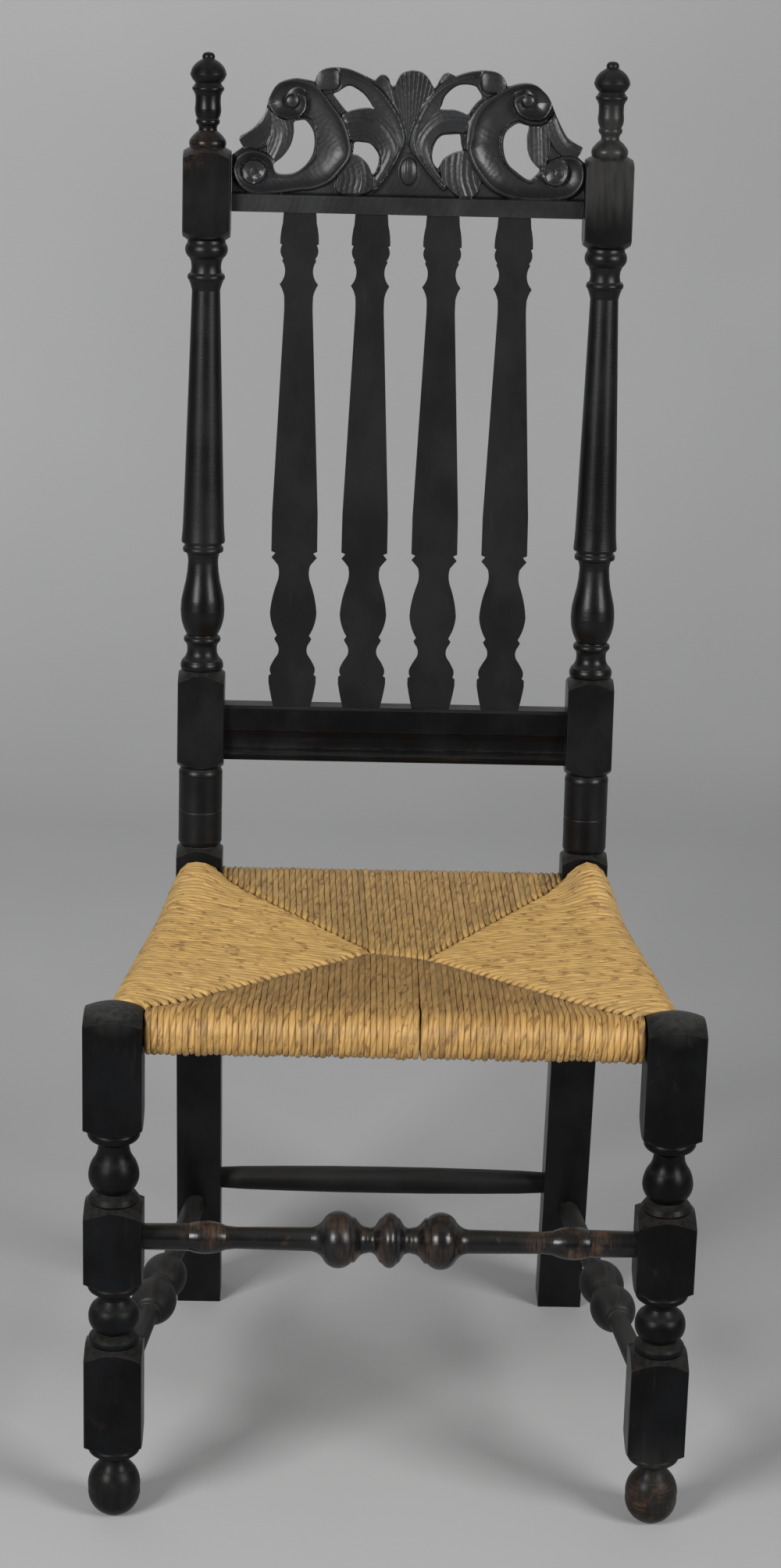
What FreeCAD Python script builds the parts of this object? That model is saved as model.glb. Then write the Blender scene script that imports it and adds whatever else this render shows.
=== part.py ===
import FreeCAD, Part
import math
import os
import Sketcher
from FreeCAD import Placement, Rotation, Vector

# Banister back side chair: turned posts and legs, four split banisters, carved crest, rush seat.
# Millimetres. X runs to the right as the chair is seen from the front, Y to the back, Z up.
# The origin is on the floor, in the middle of the chair's width and depth.

lengths = {
    # the frame of the chair
    "frontSpan": 455,            # between the axes of the front legs
    "rearSpan": 342,             # between the axes of the rear posts
    "rearDepth": 323.5,          # from the front legs' axes to the rear posts' axes, at the bend
    "bendHeight": 460,           # floor to the bend between the raked leg and the leaning post
    "edgeRounding": 1,           # worn corners of all squared stock
    "jointGap": 0.15,            # clearance all round a tenon in its mortise
    "mortiseSpare": 1,           # room past the end of each tenon
    "cutOverrun": 2,             # how far a cut stands outside what it cuts

    # rear posts: heights run along the leaning post, from the bend
    "postStock": 40.5,
    "postShoulder": 10,          # height of the rounded shoulder at the end of a squared block
    "seatBlockHigh": 24,
    "lowerBlockLow": 94.5,
    "lowerBlockHigh": 182.5,
    "columnFoot": 297.5,
    "upperBlockLow": 557.5,
    "upperBlockHigh": 636,
    "postHigh": 715.5,

    # front legs: heights run from the floor
    "legStock": 48,
    "legShoulder": 9.5,
    "footBlockLow": 64.5,
    "footBlockHigh": 161,
    "middleBlockLow": 216.5,
    "middleBlockHigh": 291,
    "topBlockLow": 355,
    "legHigh": 463,
    "legCrown": 11,              # how far the rounded top falls to its corners

    # crest rail, between the upper blocks
    "crestLow": 583,             # along the posts, from the bend
    "crestRise": 121,
    "crestThickness": 20,
    "crestTenonLow": 6,          # above the crest's lower edge
    "crestTenonHeight": 34,

    # lower back rail, between the lower blocks
    "railLow": 103,
    "railHeight": 49.5,
    "railThickness": 22,
    "railTenonLow": 8,
    "railTenonHeight": 32,

    # tenons of both back rails, and the pins that hold them
    "backTenonThickness": 9,
    "backTenonLength": 22,
    "pinRadius": 2.6,
    "pinFromFace": 11,           # from the post's inner face to the pin
    "pinLength": 28,             # from the back of the post

    # banisters: split turnings, flat at the front
    "banisterWidth": 41.5,
    "banisterSpacing": 61,
    "banisterFront": 7,          # the flat face, in front of the middle of the rails
    "banisterTenonWidth": 18,
    "banisterTenonThickness": 8,
    "banisterTenonLength": 12,
    "banisterTenonFront": 2,     # the tenon, behind the flat face

    # stretchers
    "frontStretcherHeight": 258,
    "frontStretcherRadius": 23.7,
    "rearStretcherHeight": 131,
    "rearStretcherRadius": 12.4,
    "sideStretcherHeight": 111,
    "sideStretcherRadius": 19.8,
    "stretcherTenonLength": 17,

    # seat rails, hidden in the rush
    "seatRailHeight": 442,       # floor to the middle of the rails
    "seatRailSize": 20,
    "seatRailRounding": 4,
    "seatRailEndGap": 4,         # from a rail's square end to the leg
    "seatTenonRadius": 7,
    "seatTenonLength": 11.5,
    "frontRailSetback": 1,       # behind the front legs' axes
    "sideRailInset": 9,          # inside the front legs' axes

    # rush seat and its stuffing
    "rushOver": 10,              # rush above and below the rails
    "rushFrontOver": 8,          # rush in front of the front rail
    "rushSideOver": 9,
    "rushBackOver": 7,
    "rushRounding": 15,
    "rushGap": 0.4,              # rush to wood
}
angles = {
    "backAngle": 5.5,            # degrees that the back leans from upright
    "cantAngle": 9.8,            # degrees that the rear legs rake back, below the bend
}
banisterCount = 4

# Turned outlines. Each row is a share of the stretch's length and a share of the radius: two numbers
# end a straight run, and four are the middle and the end of an arc.
seatSpanShares = [
    (0, 0.86), (0.03, 0.925, 0.09, 0.948), (0.435, 0.95), (0.45, 0.925), (0.465, 0.95),
    (0.90, 0.948), (0.97, 0.925, 1, 0.86),
]
vaseShares = [
    (0, 0.87), (0.033, 0.93, 0.066, 0.885), (0.075, 0.865), (0.108, 0.71, 0.165, 0.645),
    (0.19, 0.655, 0.212, 0.72), (0.236, 0.797, 0.268, 0.665), (0.272, 0.66),
    (0.345, 0.845, 0.465, 0.948), (0.55, 0.914, 0.625, 0.824), (0.72, 0.708, 0.83, 0.648),
    (0.875, 0.665, 0.905, 0.715), (0.915, 0.85), (0.938, 0.874, 0.96, 0.80), (0.975, 0.79),
    (0.985, 0.92), (1, 0.938),
]
columnShares = [
    (0.035, 0.90, 0.09, 0.872), (0.8355, 0.60), (0.852, 0.655, 0.8686, 0.733), (0.877, 0.795, 0.893, 0.667),
    (0.915, 0.627, 0.942, 0.724), (0.969, 0.905, 0.991, 0.81), (1, 0.80),
]
finialShares = [
    (0, 0.745), (0.046, 0.781, 0.085, 0.735), (0.132, 0.585, 0.172, 0.405),
    (0.194, 0.383, 0.234, 0.438), (0.267, 0.503, 0.30, 0.457), (0.345, 0.53, 0.406, 0.552),
    (0.48, 0.529, 0.544, 0.54), (0.577, 0.595), (0.60, 0.655), (0.609, 0.672, 0.64, 0.61),
    (0.674, 0.538), (0.72, 0.69, 0.764, 0.762), (0.837, 0.662, 0.902, 0.405), (0.927, 0.252),
    (0.96, 0.262, 0.99, 0.17), (1, 0),
]
footShares = [
    (0, 0.345), (0.123, 0.75, 0.364, 0.91), (0.558, 0.85, 0.665, 0.68),
    (0.744, 0.53, 0.812, 0.462), (0.834, 0.475), (0.85, 0.58), (0.886, 0.64), (0.897, 0.79),
    (0.955, 0.915, 1, 0.86),
]
lowerBallusterShares = [
    (0, 0.85), (0.05, 0.89, 0.10, 0.87), (0.135, 0.80), (0.19, 0.565), (0.30, 0.82, 0.42, 0.888),
    (0.54, 0.85, 0.61, 0.765), (0.67, 0.62, 0.74, 0.52), (0.80, 0.50), (0.82, 0.59), (0.861, 0.65),
    (0.876, 0.81), (0.942, 0.92, 1, 0.86),
]
upperBallusterShares = [
    (0, 0.86), (0.02, 0.89, 0.05, 0.86), (0.09, 0.785), (0.14, 0.56), (0.25, 0.81, 0.385, 0.874),
    (0.48, 0.825, 0.56, 0.735), (0.63, 0.622, 0.71, 0.553), (0.805, 0.525), (0.82, 0.58),
    (0.856, 0.635), (0.872, 0.79), (0.942, 0.905, 1, 0.86),
]
banisterShares = [
    (0, 0.795), (0.0256, 0.916, 0.0488, 1), (0.0616, 1), (0.0651, 0.892),
    (0.0744, 0.954, 0.0837, 0.916), (0.0953, 0.788, 0.1047, 0.66), (0.1186, 0.593, 0.1326, 0.71),
    (0.1395, 0.783), (0.1465, 0.682), (0.1651, 0.867, 0.193, 0.981), (0.2256, 0.885, 0.2535, 0.72),
    (0.2767, 0.63, 0.2907, 0.67), (0.2988, 0.80, 0.307, 0.952), (0.3163, 0.795),
    (0.3198, 0.964), (0.3977, 0.954), (0.793, 0.602), (0.8163, 0.588, 0.8349, 0.60),
    (0.8488, 0.69, 0.8581, 0.795), (0.8628, 0.72), (0.8814, 0.58, 0.8977, 0.627), (0.9047, 0.70),
    (0.9093, 0.665), (0.9233, 0.781, 0.936, 0.716), (0.9384, 0.795),
    (0.9605, 0.77, 0.9791, 0.70), (1, 0.67),
]
frontStretcherShares = [
    (0, 0.97), (0.0152, 0.93, 0.028, 0.83), (0.0408, 0.755), (0.053, 0.58),
    (0.0713, 0.45, 0.0914, 0.46), (0.113, 0.515, 0.129, 0.65), (0.142, 0.785), (0.1548, 0.797),
    (0.2118, 1, 0.2654, 0.75), (0.288, 0.523, 0.3194, 0.422), (0.624, 0.384), (0.6634, 0.42),
    (0.7273, 0.57, 0.8108, 0.485), (1, 0.46),
]
rearStretcherShares = [(0, 1), (0.30, 0.99), (0.60, 0.94), (0.86, 0.87), (1, 0.78)]
sideStretcherShares = [
    (0, 0.66), (0.022, 0.66), (0.148, 1, 0.255, 0.66), (0.262, 0.56), (0.275, 0.60, 0.288, 0.52),
    (0.305, 0.45, 0.34, 0.44), (0.62, 0.48), (0.85, 0.50), (1, 0.475),
]
shoulderShares = (0.48, 1.15, 1, 1.5)    # along the shoulder and across half the stock
crownShares = (1, 0.4, 1.5, 1)           # across half the stock and down the crown

# Front moulding of the lower rail, back edge to back edge over the top: shares of half the
# thickness towards the back, and of the height.
railShares = [
    (-0.64, 0), (-0.70, 0.06), (-0.98, 0.105, -0.70, 0.15), (-0.62, 0.165), (-0.62, 0.225),
    (-0.78, 0.24), (-0.66, 0.39, -0.88, 0.545), (-1, 0.56), (-1, 0.95), (-0.80, 1), (1, 1), (1, 0),
]

# Outline of the crest's left and right halves and the edges of its piercings, from the carving:
# shares of half its width and of its height. Each list in an outline is one smooth stroke.
crestLeftShares = [
    [(-1, 0.388), (-0.973, 0.413), (-0.94, 0.442)],
    [(-0.957, 0.488), (-0.96, 0.512), (-0.92, 0.541), (-0.847, 0.620), (-0.803, 0.736),
     (-0.78, 0.835), (-0.713, 0.909), (-0.64, 0.921), (-0.54, 0.905)],
    [(-0.53, 0.942), (-0.467, 1), (-0.36, 1), (-0.253, 0.950), (-0.2, 0.921)],
    [(-0.187, 0.942), (-0.155, 0.955), (-0.12, 0.934), (-0.11, 0.897), (-0.097, 0.884)],
    [(-0.083, 0.893), (-0.057, 0.963), (0, 0.993)],
]
crestRightShares = [
    [(0.06, 0.988), (0.107, 0.946), (0.14, 0.876)],
    [(0.153, 0.901), (0.19, 0.979), (0.247, 0.971), (0.257, 0.963)],
    [(0.353, 1), (0.45, 1.004), (0.513, 0.979), (0.547, 0.905)],
    [(0.613, 0.921), (0.70, 0.921), (0.753, 0.876), (0.80, 0.785), (0.837, 0.69), (0.887, 0.579),
     (0.947, 0.517), (0.983, 0.496)],
    [(0.973, 0.463), (0.957, 0.430)],
    [(0.98, 0.405), (1, 0.384)],
]
crestPiercingShares = [
    [(-0.653, 0.624), (-0.59, 0.64), (-0.535, 0.504), (-0.587, 0.322), (-0.68, 0.259),
     (-0.757, 0.277), (-0.757, 0.343), (-0.687, 0.430), (-0.653, 0.554)],
    [(-0.433, 0.822), (-0.343, 0.884), (-0.267, 0.835), (-0.2, 0.723), (-0.28, 0.726),
     (-0.353, 0.702)],
    [(-0.307, 0.496), (-0.22, 0.488), (-0.17, 0.405), (-0.193, 0.277), (-0.233, 0.343),
     (-0.29, 0.401), (-0.315, 0.43)],
    [(0.613, 0.653), (0.677, 0.632), (0.671, 0.512), (0.723, 0.36), (0.747, 0.322),
     (0.693, 0.256), (0.573, 0.355), (0.535, 0.479), (0.547, 0.587)],
    [(0.17, 0.736), (0.197, 0.826), (0.273, 0.905), (0.367, 0.901), (0.407, 0.822),
     (0.355, 0.744), (0.33, 0.702), (0.253, 0.731)],
    [(0.133, 0.438), (0.16, 0.529), (0.233, 0.565), (0.28, 0.568), (0.303, 0.45),
     (0.227, 0.413), (0.17, 0.322), (0.143, 0.355)],
]


# Sizes that stay tied to the sheet

class Size:
    # a number worked out from the sheet, with the expression that works it out

    def __init__(self, text, value):
        self.text = text
        self.value = value

    def __add__(self, other):
        return Size(f"({self.text} + {textOf(other)})", self.value + valueOf(other))

    __radd__ = __add__

    def __sub__(self, other):
        return Size(f"({self.text} - {textOf(other)})", self.value - valueOf(other))

    def __mul__(self, other):
        return Size(f"({self.text} * {textOf(other)})", self.value * valueOf(other))

    def __truediv__(self, other):
        return Size(f"({self.text} / {textOf(other)})", self.value / valueOf(other))

    def __neg__(self):
        return Size(f"(-1 * {self.text})", -self.value)


def textOf(number):
    return number.text if isinstance(number, Size) else f"{number}"


def valueOf(number):
    return number.value if isinstance(number, Size) else number


def cosine(angle):
    return Size(f"cos({angle.text} * 1 deg)", math.cos(math.radians(angle.value)))


def sine(angle):
    return Size(f"sin({angle.text} * 1 deg)", math.sin(math.radians(angle.value)))


def tangent(angle):
    return Size(f"tan({angle.text} * 1 deg)", math.tan(math.radians(angle.value)))


def slantAngle(ratio):
    return Size(f"(atan({ratio.text}) / 1 deg)", math.degrees(math.atan(ratio.value)))


doc = FreeCAD.newDocument("BanisterBackChair")
sheet = doc.addObject("Spreadsheet::Sheet", "Sizes")
for row, (alias, number) in enumerate({**lengths, **angles}.items(), start=1):
    sheet.set(f"A{row}", alias)
    sheet.set(f"B{row}", f"{number}")
    sheet.setAlias(f"B{row}", alias)
doc.recompute()


def size(alias):
    return Size(f"Sizes.{alias}", float(sheet.get(alias)))


def bind(thing, **sizes):
    for name, number in sizes.items():
        thing.setExpression(name, textOf(number))


def place(thing, x, y, z, axis=(0, 0, 1), angle=0):
    turn = Rotation(Vector(*axis), valueOf(angle))
    thing.Placement = Placement(Vector(valueOf(x), valueOf(y), valueOf(z)), turn)
    for name, number in (("Base.x", x), ("Base.y", y), ("Base.z", z)):
        if isinstance(number, Size):
            thing.setExpression(f"Placement.{name}", number.text)
    if isinstance(angle, Size):
        thing.setExpression("Placement.Rotation.Angle", f"{angle.text} * 1 deg")


# Places that several pieces share

backAngle, cantAngle = size("backAngle"), size("cantAngle")
jointGap, mortiseSpare, cutOverrun = size("jointGap"), size("mortiseSpare"), size("cutOverrun")
legStock, postStock = size("legStock"), size("postStock")
frontX, rearX = size("frontSpan") / 2, size("rearSpan") / 2
bendHeight = size("bendHeight")
footReach = bendHeight * tangent(cantAngle) + postStock / 2 / cosine(cantAngle)
middleDepth = (size("rearDepth") + footReach - legStock / 2) / 2
frontY = -middleDepth
rearY = size("rearDepth") - middleDepth


def rakedY(height):
    # the rear leg's axis, at a height below the bend
    return rearY + (bendHeight - height) * tangent(cantAngle)


def lean(thing, x, back, up, turn=backAngle):
    # puts a thing in the leaning frame of the back, whose zero is on the posts' axes at the bend
    y = rearY + sine(backAngle) * up + cosine(backAngle) * back
    z = bendHeight + cosine(backAngle) * up - sine(backAngle) * back
    place(thing, x, y, z, (-1, 0, 0), turn)


# Sketched outlines

def flat(point):
    return Vector(valueOf(point[0]), valueOf(point[1]), 0)


def hold(sketch, geometry, position, point):
    # fixes a point of the sketch at sizes across and up from its origin
    for kind, number in zip(("DistanceX", "DistanceY"), point):
        constraint = Sketcher.Constraint(kind, -1, 1, geometry, position, valueOf(number))
        index = sketch.addConstraint(constraint)
        if isinstance(number, Size):
            sketch.setExpression(f"Constraints[{index}]", number.text)


def drawClosed(sketch, start, rows):
    # a closed outline: each row is the end of a line, or the middle and the end of an arc
    ends = []
    point = start
    for row in rows:
        first, last = flat(point), flat(row[-1])
        if len(row) == 1:
            geometry = sketch.addGeometry(Part.LineSegment(first, last), False)
            ends.append((geometry, 1, 2))
        else:
            middle = flat(row[0])
            geometry = sketch.addGeometry(Part.Arc(first, middle, last), False)
            leftward = (middle - first).cross(last - middle).z > 0
            ends.append((geometry, 1, 2) if leftward else (geometry, 2, 1))
            through = sketch.addGeometry(Part.Point(middle), True)
            hold(sketch, through, 1, row[0])
            sketch.addConstraint(Sketcher.Constraint("PointOnObject", through, 1, geometry))
        hold(sketch, geometry, ends[-1][2], row[-1])
        point = row[-1]
    for (before, _, leaving), (after, entering, _) in zip(ends, ends[1:] + ends[:1]):
        sketch.addConstraint(Sketcher.Constraint("Coincident", before, leaving, after, entering))


def turned(shares, low, high, radius):
    # the points of a turned outline, from its shares
    def point(along, out):
        return radius * out, low + (high - low) * along
    return [tuple(point(*row[i:i + 2]) for i in range(0, len(row), 2)) for row in shares]


def originPlane(body, role):
    return next(feature for feature in body.Origin.OriginFeatures if feature.Role == role)


def sketchOn(body, role, name, start, rows):
    sketch = body.newObject("Sketcher::SketchObject", name)
    sketch.AttachmentSupport = [(originPlane(body, role), "")]
    sketch.MapMode = "FlatFace"
    drawClosed(sketch, start, rows)
    sketch.Visibility = False
    return sketch


def drawCircle(sketch, radius):
    circle = Part.Circle(Vector(0, 0, 0), Vector(0, 0, 1), radius.value)
    geometry = sketch.addGeometry(circle, False)
    sketch.addConstraint(Sketcher.Constraint("Coincident", geometry, 3, -1, 1))
    index = sketch.addConstraint(Sketcher.Constraint("Radius", geometry, radius.value))
    sketch.setExpression(f"Constraints[{index}]", radius.text)


def rectangle(halfAcross, halfUp):
    corners = [(halfAcross, -halfUp), (halfAcross, halfUp), (-halfAcross, halfUp), (-halfAcross, -halfUp)]
    return corners[-1], [(corner,) for corner in corners]


def pad(body, sketch, name, length, middle=False):
    feature = body.newObject("PartDesign::Pad", name)
    feature.Profile = sketch
    feature.Midplane = middle
    bind(feature, Length=length)
    doc.recompute()
    return feature


def roundEdges(body, base, name, radius, chosen):
    # rounds the chosen edges of a feature
    feature = body.newObject("PartDesign::Fillet", name)
    edges = [f"Edge{i}" for i, edge in enumerate(base.Shape.Edges, start=1) if chosen(edge)]
    feature.Base = (base, edges)
    bind(feature, Radius=radius)
    doc.recompute()
    return feature


def turnAway(body, name, start, rows):
    # turns the wood inside an outline off a body, around its upright axis
    sketch = sketchOn(body, "XZ_Plane", name + "Outline", start, rows)
    groove = body.newObject("PartDesign::Groove", name)
    groove.Profile = sketch
    groove.ReferenceAxis = (sketch, ["V_Axis"])
    groove.Angle = 360
    doc.recompute()


def turnBetween(body, name, points, low, high, half, shoulder):
    # turns the stretch between two squared blocks, with a rounded shoulder on each
    along, out, alongEnd, outEnd = shoulderShares
    below = [(half * outEnd, low - shoulder * alongEnd), (half * out, low - shoulder * along)]
    above = [(half * out, high + shoulder * along), (half * outEnd, high + shoulder * alongEnd)]
    rows = [(below[1], points[0][0])] + points[1:] + [tuple(above), (below[0],)]
    turnAway(body, name, below[0], rows)


# Joinery: one long tool serves both ends of a rail or stretcher

def spin(body, sketch, name, degrees):
    feature = body.newObject("PartDesign::Revolution", name)
    feature.Profile = sketch
    feature.ReferenceAxis = (sketch, ["V_Axis"])
    feature.Angle = degrees
    doc.recompute()
    return feature


def rod(name, reach, radius, where):
    # a plain round rod along Y before it is placed, reaching as far to each side of its middle
    body = doc.addObject("PartDesign::Body", name)
    corners = [(radius, -reach), (radius, reach), (0, reach), (0, -reach)]
    outline = sketchOn(body, "XY_Plane", name + "Outline", corners[-1], [(corner,) for corner in corners])
    spin(body, outline, name + "Turning", 360)
    place(body, *where)
    return body


def leaningBox(name, length, front, thickness, low, height, middleX=None):
    # a box in the frame of the back, centred across on the chair or on middleX
    box = doc.addObject("Part::Box", name)
    bind(box, Length=length, Width=thickness, Height=height)
    left = -length / 2 if middleX is None else middleX - length / 2
    lean(box, left, front, low)
    return box


def backBar(name, low, height, gap, spare):
    # the tenons at both ends of a back rail as one bar, or with a gap, the mortises that take them
    half = size("backTenonThickness") / 2 + gap
    length = size("rearSpan") - postStock + (size("backTenonLength") + spare) * 2
    return leaningBox(name, length, -half, half * 2, low - gap, height + gap * 2)


def pins(name, up, gap, spare, overrun):
    # the pins that are driven from the back through a back rail's two tenons, or the holes for them
    pinX = rearX - postStock / 2 + size("pinFromFace")
    start = postStock / 2 - size("pinLength") - spare
    both = []
    for side, word in ((-1, "Left"), (1, "Right")):
        pin = doc.addObject("Part::Cylinder", name + word)
        bind(pin, Radius=size("pinRadius") + gap, Height=size("pinLength") + spare + overrun)
        lean(pin, pinX * side, start, up, backAngle + 90)
        both.append(pin)
    return both


def fused(name, shapes):
    whole = doc.addObject("Part::MultiFuse", name)
    whole.Shapes = shapes
    return whole


def cut(name, base, tool):
    piece = doc.addObject("Part::Cut", name)
    piece.Base = base
    piece.Tool = tool
    return piece


railTop = size("railLow") + size("railHeight")
crestTenonLow = size("crestLow") + size("crestTenonLow")
railTenonLow = size("railLow") + size("railTenonLow")
backBars = {
    "crest": (crestTenonLow, size("crestTenonHeight")),
    "lowerRail": (railTenonLow, size("railTenonHeight")),
}
pieces = {}
legCuts = []
pinHoles = {}
for rail, (low, height) in backBars.items():
    legCuts.append(backBar(rail + "Mortises", low, height, jointGap, mortiseSpare))
    pinHoles[rail] = pins(rail + "PinHole", low + height / 2, jointGap, mortiseSpare, cutOverrun)
    legCuts += pinHoles[rail]


# Stretchers: turned along Y, then set between the legs

def betweenLegs(height, frontAxisX, rearAxisX, side):
    # middle, turn and half length of what runs from a front leg to a rear one
    depth = rakedY(height) - frontY
    slope = (frontAxisX - rearAxisX) / depth
    turn = slantAngle(slope)
    where = ((frontAxisX + rearAxisX) / 2 * side, (frontY + rakedY(height)) / 2, height, (0, 0, side), turn)
    return where, (depth / cosine(turn) - (legStock + postStock) / 2) / 2


def stretcher(label, shares, radius, half, where):
    reach = half + size("stretcherTenonLength")
    body = doc.addObject("PartDesign::Body", label)
    outline = turned(shares, 0, half, radius)
    tenonEnd = (outline[-1][-1][0], reach)
    rows = [(outline[0][0],)] + outline[1:] + [(tenonEnd,), ((0, reach),), ((0, 0),)]
    sketch = sketchOn(body, "XY_Plane", label + "_outline", (0, 0), rows)
    turning = spin(body, sketch, label + "_turning", 360)
    mirror = body.newObject("PartDesign::Mirrored", label + "_mirror")
    mirror.Originals = [turning]
    mirror.MirrorPlane = (originPlane(body, "XZ_Plane"), [""])
    body.Tip = mirror
    place(body, *where)
    pieces[label] = body
    legCuts.append(rod(label + "_bore", reach + mortiseSpare, tenonEnd[0] + jointGap, where))


frontHalf = frontX - legStock / 2
rearHalf = rearX - postStock / 2
frontStretcherHeight, rearStretcherHeight = size("frontStretcherHeight"), size("rearStretcherHeight")
stretcher("front_stretcher", frontStretcherShares, size("frontStretcherRadius"), frontHalf,
          (0, frontY, frontStretcherHeight, (0, 0, 1), 90))
stretcher("rear_stretcher", rearStretcherShares, size("rearStretcherRadius"), rearHalf,
          (0, rakedY(rearStretcherHeight), rearStretcherHeight, (0, 0, 1), 90))
for side, word in ((-1, "left"), (1, "right")):
    where, half = betweenLegs(size("sideStretcherHeight"), frontX, rearX, side)
    stretcher(f"side_stretcher_{word}", sideStretcherShares, size("sideStretcherRadius"), half, where)


# Seat rails: rounded square bars with round tenons

seatRailHeight, seatRailSize = size("seatRailHeight"), size("seatRailSize")
sideRailX = frontX - size("sideRailInset")
frontRailY = frontY + size("frontRailSetback")
rearRailY = rakedY(seatRailHeight)


def seatRail(label, half, where):
    body = doc.addObject("PartDesign::Body", label)
    square = sketchOn(body, "XZ_Plane", label + "_square", *rectangle(seatRailSize / 2, seatRailSize / 2))
    barLength = (half - size("seatRailEndGap")) * 2
    bar = pad(body, square, label + "_bar", barLength, middle=True)
    roundEdges(body, bar, label + "_rounding", size("seatRailRounding"),
               lambda edge: edge.Length > barLength.value / 2)
    circle = body.newObject("Sketcher::SketchObject", label + "_circle")
    circle.AttachmentSupport = [(originPlane(body, "XZ_Plane"), "")]
    circle.MapMode = "FlatFace"
    drawCircle(circle, size("seatTenonRadius"))
    reach = half + size("seatTenonLength")
    pad(body, circle, label + "_tenons", reach * 2, middle=True)
    place(body, *where)
    pieces[label] = body
    legCuts.append(rod(label + "_bore", reach + mortiseSpare, size("seatTenonRadius") + jointGap, where))


seatRail("front_seat_rail", frontHalf, (0, frontRailY, seatRailHeight, (0, 0, 1), 90))
seatRail("rear_seat_rail", rearHalf, (0, rearRailY, seatRailHeight, (0, 0, 1), 90))
for side, word in ((-1, "left"), (1, "right")):
    where, half = betweenLegs(seatRailHeight, sideRailX, rearX, side)
    seatRail(f"side_seat_rail_{word}", half, where)


# Front legs: upright, turned between three squared blocks, with a rounded top

def frontLeg(name):
    body = doc.addObject("PartDesign::Body", name)
    half = legStock / 2
    square = sketchOn(body, "XY_Plane", name + "Square", *rectangle(half, half))
    blank = pad(body, square, name + "Blank", size("legHigh") + cutOverrun)
    roundEdges(body, blank, name + "Edges", size("edgeRounding"),
               lambda edge: edge.Length > legStock.value * 2)
    shoulder = size("legShoulder")
    out = half * shoulderShares[-1]

    foot = turned(footShares, 0, size("footBlockLow"), half)
    footShoulder = [(half * shoulderShares[1], size("footBlockLow") + shoulder * shoulderShares[0]),
                    (out, size("footBlockLow") + shoulder)]
    footRim = (foot[0][0][0], -cutOverrun)
    rows = foot[1:] + [tuple(footShoulder), ((out, -cutOverrun),), (footRim,), (foot[0][0],)]
    turnAway(body, name + "Foot", foot[0][0], rows)

    spans = {
        "LowerBaluster": (lowerBallusterShares, "footBlockHigh", "middleBlockLow"),
        "UpperBaluster": (upperBallusterShares, "middleBlockHigh", "topBlockLow"),
    }
    for span, (shares, low, high) in spans.items():
        points = turned(shares, size(low), size(high), half)
        turnBetween(body, name + span, points, size(low), size(high), half, shoulder)

    top, crown = size("legHigh"), size("legCrown")
    above = top + cutOverrun * 2
    middleOut, middleDown, endOut, endDown = crownShares
    rim = (half * endOut, top - crown * endDown)
    rows = [((half * middleOut, top - crown * middleDown), rim), ((rim[0], above),), ((0, above),), ((0, top),)]
    turnAway(body, name + "Crown", (0, top), rows)
    return body


# Rear posts: bent at the seat, raked below it, turned above it

def rearPost(name):
    # modelled in the leaning frame of the back, so that the turning's axis is upright
    body = doc.addObject("PartDesign::Body", name)
    half = postStock / 2
    bend = backAngle + cantAngle
    mitre = half * tangent(bend / 2)

    def footCorner(side):
        # a corner of the foot, level with the floor, seen from the bend
        back = bendHeight * tangent(cantAngle) + half / cosine(cantAngle) * side
        return (cosine(backAngle) * back + sine(backAngle) * bendHeight,
                sine(backAngle) * back - cosine(backAngle) * bendHeight)

    top = size("postHigh") + cutOverrun
    rows = [((-half, top),), ((-half, -mitre),), (footCorner(-1),), (footCorner(1),), ((half, mitre),),
            ((half, top),)]
    side = sketchOn(body, "YZ_Plane", name + "Side", (half, top), rows)
    blank = pad(body, side, name + "Blank", postStock, middle=True)
    roundEdges(body, blank, name + "Edges", size("edgeRounding"),
               lambda edge: edge.Length > postStock.value * 2)

    shoulder = size("postShoulder")
    seatHigh, lowerLow = size("seatBlockHigh"), size("lowerBlockLow")
    points = turned(seatSpanShares, seatHigh, lowerLow, half)
    turnBetween(body, name + "AboveSeat", points, seatHigh, lowerLow, half, shoulder)

    lowerHigh, foot, upperLow = size("lowerBlockHigh"), size("columnFoot"), size("upperBlockLow")
    points = turned(vaseShares, lowerHigh, foot, half) + turned(columnShares, foot, upperLow, half)
    turnBetween(body, name + "Column", points, lowerHigh, upperLow, half, shoulder)

    upperHigh, tip = size("upperBlockHigh"), size("postHigh")
    along, out, alongEnd, outEnd = shoulderShares
    start = (half * outEnd, upperHigh - shoulder * alongEnd)
    finial = turned(finialShares, upperHigh, tip, half)
    above = tip + cutOverrun * 2
    rows = [((half * out, upperHigh - shoulder * along), finial[0][0])] + finial[1:]
    rows += [((0, above),), ((half * outEnd, above),), (start,)]
    turnAway(body, name + "Finial", start, rows)
    return body


allLegCuts = fused("legMortises", legCuts)
for side, word in ((-1, "left"), (1, "right")):
    leg = frontLeg(f"frontLeg{word.title()}")
    place(leg, frontX * side, frontY, 0)
    pieces[f"front_leg_{word}"] = cut(f"front_leg_{word}", leg, allLegCuts)
    post = rearPost(f"rearPost{word.title()}")
    lean(post, rearX * side, 0, 0)
    pieces[f"rear_post_{word}"] = cut(f"rear_post_{word}", post, allLegCuts)


# Banisters: half-round turnings between the lower rail and the crest

banisterLength = size("crestLow") - railTop


def banisterTenons(name, x, gap, spare):
    # both tenons of a banister as one bar, or with a gap, their mortises
    reach = size("banisterTenonLength") + spare
    width, thickness = size("banisterTenonWidth") + gap * 2, size("banisterTenonThickness") + gap * 2
    front = size("banisterTenonFront") - size("banisterFront") - gap
    return leaningBox(name, width, front, thickness, railTop - reach, banisterLength + reach * 2, x)


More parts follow.
